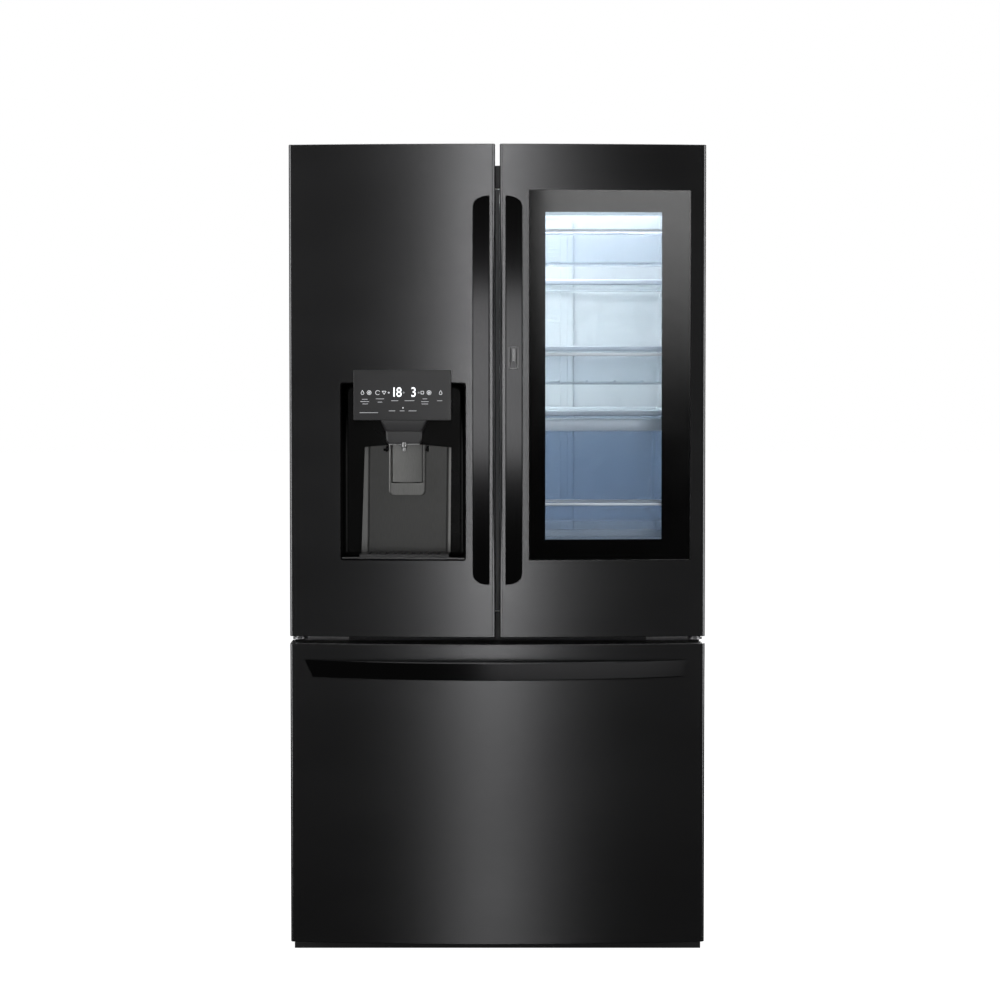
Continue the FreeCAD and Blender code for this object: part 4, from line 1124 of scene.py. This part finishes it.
def case_shell():
    """The painted case: one bent sheet over the sides and the top, and a back panel with raised fields and screws."""
    lo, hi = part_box("case_panels")
    sheet, bend = 0.0015, 0.005
    back = hi.y - sheet

    def arch(inset):
        right = []
        for k in range(7):
            angle = math.radians(90 * k / 6)
            reach = bend - inset
            right.append((hi.x - bend + reach * math.cos(angle), hi.z - bend + reach * math.sin(angle)))
        right = [(hi.x - inset, lo.z), (hi.x - inset, (lo.z + hi.z) / 2)] + right
        return right + [(-x, z) for x, z in right[::-1]]

    section = arch(0) + arch(sheet)[::-1]
    bm = bmesh.new()
    loft(bm, [[(x, y, z) for x, z in section] for y in (lo.y, 0, back)])
    piece("case_wrap", bm, "cabinet", "case_paint", CASE, ["case_panels"])
    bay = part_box("machine_cover")[1].z + 0.002
    bm = bmesh.new()
    block(bm, (lo.x + sheet, back - 0.0002, bay), (hi.x - sheet, back + 0.0006, hi.z - sheet), 0.002, 0.0003, "y")
    rim = 0.034
    fields = 3
    tall = (hi.z - bay - rim * 2) / fields
    for k in range(fields):
        low = bay + rim + tall * k
        block(bm, (lo.x + rim, back, low + 0.012), (hi.x - rim, hi.y, low + tall - 0.012), 0.030, 0.0008, "y")
    for side in (-1, 1):
        for k in range(7):
            z = bay + 0.020 + (hi.z - bay - 0.040) * k / 6
            screw(bm, (side * (hi.x - 0.016), hi.y - 0.0021, z), "y", 0.0042, 1, 1)
    piece("back_panel", bm, "cabinet", "case_paint", [CASE, ZINC])


def freezer_bins():
    """The deep basket on the drawer, with a divider, and the shallow tray above it."""
    lo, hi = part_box("drawer_basket")
    bm = bmesh.new()
    tub(bm, lo, hi, 0.003, 0.024, 0.010, 0.007, 0.008, 0.012, 0, 1)
    middle = (lo.x + hi.x) / 2
    block(bm, (middle - 0.002, lo.y + 0.012, lo.z + 0.005), (middle + 0.002, hi.y - 0.012, hi.z - 0.030), 0.001, 0.001)
    for k in range(1, 12):
        x = lo.x + (hi.x - lo.x) * k / 12
        block(bm, (x - 0.0015, lo.y + 0.020, lo.z + 0.002), (x + 0.0015, hi.y - 0.020, lo.z + 0.0065), 0.001, 0.0008)
    piece("freezer_basket", bm, "drawer", NODE_SLOT["drawer_basket"], [WHITE, TRIM_WHITE], ["drawer_basket"])
    node = next(name for name in frame["nodes"] if "tray" in name and name != "drip_tray")
    lo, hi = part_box(node)
    bm = bmesh.new()
    tub(bm, lo, hi, 0.003, 0.020, 0.006, 0.007, 0.007, 0.010, 0, 1)
    for k in range(1, 10):
        x = lo.x + (hi.x - lo.x) * k / 10
        block(bm, (x - 0.0012, lo.y + 0.016, lo.z + 0.002), (x + 0.0012, hi.y - 0.016, lo.z + 0.0055), 0.001, 0.0006)
    piece("freezer_tray_box", bm, frame["nodes"][node]["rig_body"], NODE_SLOT[node], [CLEAR, TRIM_WHITE], [node])


def mullion():
    """The folding post that closes the gap between the doors: a case, a flap and a screwed cap at each end."""
    lo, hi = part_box("flip_mullion")
    floor, ceiling = MULLION_Z
    bm = bmesh.new()
    block(bm, (lo.x, lo.y, floor), (hi.x, hi.y, ceiling), 0.002, 0.0015)
    block(bm, (hi.x - 0.003, lo.y, floor), (hi.x + 0.0023, lo.y + 0.0018, ceiling), 0.0006, 0.0004, mat=1)
    for z in (floor + 0.0002, ceiling - 0.0302):
        block(bm, (lo.x + 0.004, hi.y - 0.001, z), (hi.x - 0.004, hi.y + 0.0012, z + 0.030), 0.003, 0.0008, mat=1)
        screw(bm, ((lo.x + hi.x) / 2, hi.y + 0.0012, z + 0.015), "y", 0.0035, 1, 2)
    piece("folding_post", bm, "mullion", NODE_SLOT["flip_mullion"], [GREY, DARK_GREY, ZINC], ["flip_mullion"])


def shade_by_place(node, name, materials, pick, inset=0.0013):
    """The node's own shape with its end faces moved in under the skin's folds, coloured face by face."""
    source = frame["nodes"][node]
    bm = bmesh.new()
    bm.from_mesh(source.data)
    bmesh.ops.remove_doubles(bm, verts=bm.verts, dist=1e-6)
    bmesh.ops.dissolve_limit(bm, angle_limit=math.radians(0.5), verts=bm.verts, edges=bm.edges)
    top, bottom = max(v.co.z for v in bm.verts), min(v.co.z for v in bm.verts)
    bm.normal_update()
    for face in bm.faces:
        face.material_index = pick(face, bottom, top)
    for vert in bm.verts:
        if vert.co.z > top - 1e-5:
            vert.co.z -= inset
        elif vert.co.z < bottom + 1e-5:
            vert.co.z += inset
    piece(name, bm, source["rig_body"], NODE_SLOT[node], materials, [node], 30, 0.0012)


def door_cores():
    """Foamed door bodies: white moulded backs, dark plastic end caps and dark sides."""
    def pick(face, bottom, top):
        spot = face.calc_center_median()
        if abs(face.normal.z) > 0.9 and min(abs(spot.z - top), abs(spot.z - bottom)) < 0.05 and spot.y < -0.29:
            return 1
        if abs(face.normal.x) > 0.8 and spot.y < -0.299:
            return 2
        return 0

    for node in ("left_core", "leaf_core", "drawer_core", "right_frame"):
        shade_by_place(node, node + "_moulding", [WHITE, BLACK, DARK_GREY], pick)


def bin_pieces(node, body, levels, names):
    """Door bins: a frosted floor, clear walls and a white rim rail."""
    near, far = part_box(node)
    for name, (low, high) in zip(names, levels):
        bm = bmesh.new()
        lo, hi = (near.x, near.y, low), (far.x, far.y, high)
        tub(bm, lo, hi, 0.0028, 0.014, 0.003, 0.0022, 0.006, 0.006, 0, 1)
        frost = (lo[0] + 0.010, lo[1] + 0.010, low + 0.0034), (hi[0] - 0.010, hi[1] - 0.010, low + 0.0050)
        block(bm, *frost, 0.008, 0.0005, mat=2)
        count = 5
        for k in range(1, count):
            x = lo[0] + (hi[0] - lo[0]) * k / count
            rib = (x - 0.0008, lo[1] + 0.012, low + 0.0048), (x + 0.0008, hi[1] - 0.012, low + 0.0075)
            block(bm, *rib, 0.0006, 0.0004, mat=2)
        piece(name, bm, body, "clear_plastic", [CLEAR, TRIM_WHITE, FROSTED], [node])


def drawer_box(node, body, name):
    """A clear drawer with a thicker front, a finger groove and a white rail along the top of the front."""
    lo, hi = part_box(node)
    bm = bmesh.new()
    tub(bm, (lo.x, lo.y + 0.004, lo.z), (hi.x, hi.y, hi.z - 0.001), 0.003, 0.016, 0.004, 0.0045, 0.006, 0.010)
    middle, reach = (lo.x + hi.x) / 2, (hi.x - lo.x) / 2
    front = []
    for k in range(25):
        x = lo.x + 0.001 + (hi.x - lo.x - 0.002) * k / 24
        bulge = 0.003 * (1 - ((x - middle) / reach) ** 2)
        y = lo.y + 0.0032 - bulge
        front.append([(x, y + dy, lo.z + 0.004 + dz * (hi.z - lo.z - 0.034)) for dy, dz in
                      ((0.006, 0), (0.0012, 0.01), (0, 0.06), (0, 0.94), (0.0012, 0.99), (0.006, 1.0))])
    loft(bm, front)
    piece(name, bm, body, "clear_plastic", CLEAR_BLUE, [node])
    bm = bmesh.new()
    rail = []
    for k in range(25):
        x = lo.x + (hi.x - lo.x) * k / 24
        grip = math.exp(-((x - middle) / (reach * 0.42)) ** 4)
        bulge = 0.003 * (1 - ((x - middle) / reach) ** 2)
        y, z = lo.y + 0.003 - bulge, hi.z
        rail.append([(x, y + dy, z - dz) for dy, dz in
                     ((0.0, 0.028), (0.0, 0.004), (0.003, 0.0), (0.016, 0.0), (0.016, 0.003),
                      (0.005 + 0.004 * grip, 0.006), (0.004 + 0.005 * grip, 0.024), (0.006, 0.028))])
    loft(bm, rail)
    piece(name + "_rail", bm, body, "white_liner", TRIM_WHITE, crease=40)


def ice_compartment():
    """The insulated ice room on the left door, shut: its shell and hatch, a latch and vents."""
    lo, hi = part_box("ice_room")
    bm = bmesh.new()
    block(bm, (lo.x, lo.y, lo.z), (hi.x, hi.y - 0.008, hi.z), 0.012, 0.004, "y")
    seam = 0.009
    block(bm, (lo.x + seam, hi.y - 0.010, lo.z + seam), (hi.x - seam, hi.y - 0.002, hi.z - seam), 0.010, 0.003, "y")
    piece("ice_room_shell", bm, "left_door", "white_liner", WHITE, ["ice_room", "ice_bin"])
    bm = bmesh.new()
    x, middle = hi.x - 0.030, (lo.z + hi.z) / 2
    block(bm, (x - 0.012, hi.y - 0.003, middle - 0.050), (x + 0.012, hi.y - 0.0002, middle + 0.050), 0.011, 0.001, "y")
    for k in range(5):
        z = hi.z - 0.070 - 0.008 * k
        block(bm, (lo.x + 0.100, hi.y - 0.003, z), (hi.x - 0.100, hi.y - 0.0008, z + 0.004), 0.0015, 0.0006, "y")
    piece("ice_room_latch", bm, "left_door", "grey_plastic", GREY)


def cavity(name, profile, half, slot, material, stands_for=(), radius=0.009):
    """A moulded lining: a sheet bent through a profile in the YZ plane and closed at both sides, open to the front."""
    bm = bmesh.new()
    sides = [[bm.verts.new((x, y, z)) for y, z in profile] for x in (-half, half)]
    for side in sides:
        bm.faces.new(side)
    for k in range(len(profile) - 1):
        bm.faces.new((sides[0][k], sides[0][k + 1], sides[1][k + 1], sides[1][k]))
    bmesh.ops.recalc_face_normals(bm, faces=bm.faces)
    inner = [edge for edge in bm.edges if not edge.is_boundary]
    bmesh.ops.bevel(bm, geom=inner, offset=radius, segments=5, profile=0.5, affect="EDGES", clamp_overlap=True)
    bmesh.ops.recalc_face_normals(bm, faces=bm.faces)
    centre = Vector((0, sum(p[0] for p in profile) / len(profile), sum(p[1] for p in profile) / len(profile)))
    probe = max(bm.faces, key=lambda face: face.calc_area())
    if probe.normal.dot(centre - probe.calc_center_median()) < 0:
        bmesh.ops.reverse_faces(bm, faces=bm.faces)
    bmesh.ops.solidify(bm, geom=bm.faces[:], thickness=0.0016)
    return piece(name, bm, "cabinet", slot, material, stands_for)


def linings():
    lo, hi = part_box("liners")
    half, front = hi.x - 0.002, lo.y
    floor, top, back = FRIDGE_ROOM
    cavity("fridge_lining", [(front, top), (back, top), (back, floor), (front, floor)], half,
           "white_liner", WHITE, ["liners"])
    (floor, top), (step_y, step_z) = FREEZER_ROOM, COMPRESSOR_STEP
    profile = [(front, top), (back, top), (back, step_z), (step_y, step_z), (step_y, floor), (front, floor)]
    cavity("freezer_lining", profile, half, "white_liner", WHITE, radius=0.008)
    bm = bmesh.new()
    for side in (-1, 1):
        for z in SHELF_TOPS:
            wall, inner = side * half, side * (half - 0.005)
            block(bm, (min(wall, inner), -0.160, z - 0.026), (max(wall, inner), 0.345, z - 0.0135), 0.003, 0.002, "x")
    piece("shelf_ledges", bm, "cabinet", "white_liner", WHITE)


def shelves():
    """Six half-width shelves: a white frame with a deeper front rail round a glass pane, and the middle post."""
    frames, panes = bmesh.new(), bmesh.new()
    y0, y1 = SHELF_Y
    for z in SHELF_TOPS:
        for side in (-1, 1):
            x0, x1 = sorted(side * reach for reach in SHELF_HALVES)
            for bar in (((x0, y0, z - 0.012), (x1, y0 + 0.020, z)), ((x0, y1 - 0.014, z - 0.011), (x1, y1, z)),
                        ((x0, y0 + 0.018, z - 0.011), (x0 + 0.013, y1 - 0.012, z)),
                        ((x1 - 0.013, y0 + 0.018, z - 0.011), (x1, y1 - 0.012, z))):
                block(frames, *bar, 0.003, 0.0025, "x" if bar[1][0] - bar[0][0] > 0.1 else "y")
            pane = (x0 + 0.008, y0 + 0.014, z - 0.0075), (x1 - 0.008, y1 - 0.008, z - 0.0035)
            block(panes, *pane, 0.003, 0.0008)
    block(frames, (-0.030, -0.1, 0.938), (0.030, 0.340, 0.948), 0.003, 0.002)
    block(frames, (-0.004, -0.1, 0.948), (0.004, 0.340, 1.192), 0.002, 0.0015)
    for side in (-1, 1):
        x0, x1 = sorted((side * 0.380, side * 0.407))
        block(frames, (x0, -0.120, 0.938), (x1, 0.340, 0.948), 0.003, 0.002)
    piece("shelf_rails", frames, "cabinet", "white_liner", TRIM_WHITE, ["shelf_frames"])
    piece("shelf_glass", panes, "cabinet", "shelf_glass", SHELF_GLASS, ["shelf_panes"])


def duct():
    """The air duct's panel with its louvres, and the freezer's back panel."""
    bm = bmesh.new()
    block(bm, (-0.190, 0.363, 0.790), (0.190, 0.3785, 1.670), 0.020, 0.006, "y")
    for side in (-1, 1):
        block(bm, (side * 0.165 - 0.010, 0.3615, 0.82), (side * 0.165 + 0.010, 0.366, 1.64), 0.006, 0.002, "y")
    block(bm, (-0.406, 0.297, 0.332), (0.406, 0.300, 0.660), 0.006, 0.001, "y")
    for k in range(9):
        x = -0.32 + 0.08 * k
        for z in (0.600, 0.612, 0.624):
            block(bm, (x - 0.028, 0.2955, z), (x + 0.028, 0.2985, z + 0.006), 0.002, 0.0012, "y")
    piece("duct_panel", bm, "cabinet", "white_liner", WHITE, ["duct_covers"])
    bm = bmesh.new()
    for z in (1.28, 1.42, 1.58):
        for x in (-0.12, 0, 0.12):
            for step in (-0.006, 0.004, 0.014):
                block(bm, (x - 0.036, 0.3622, z + step), (x + 0.036, 0.3640, z + step + 0.004), 0.0015, 0.0006, "y")
    piece("duct_louvres", bm, "cabinet", "white_liner", TRIM_WHITE)


left_front()
leaf_front()
drawer_front()
upright_handle("left_handle", -1)
upright_handle("right_handle", 1)
drawer_handle()
dispenser_recess()
dispenser_back_plate()
dispenser_sill()
display()
dispenser_chute()
paddle()
window_panes()
latch()
for seal_node in ("left_gasket", "right_gasket", "drawer_gasket"):
    seal(seal_node, 0.016)
seal("leaf_gasket", 0.014)
bin_pieces("frame_bins", "right_door", FRAME_BIN_LEVELS, ["window_bin_low", "window_bin_middle", "window_bin_high"])
bin_pieces("left_bins", "left_door", LEFT_BIN_LEVELS, ["left_bin_low", "left_bin_high"])
drawer_box("crisper_left", "crisper_l", "crisper_left_box")
drawer_box("crisper_right", "crisper_r", "crisper_right_box")
drawer_box("pantry_drawer", "pantry", "pantry_box")
ice_compartment()
linings()
shelves()
duct()
mullion()
door_cores()
case_shell()
freezer_bins()


def rest():
    done = {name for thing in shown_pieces() for name in thing.get("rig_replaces", [])}
    for node, thing in frame["nodes"].items():
        if node not in done:
            refined(node, KICK if node == "kick_plate" else None)


rest()
make_camera()
make_studio()
make_cabinet_lights()
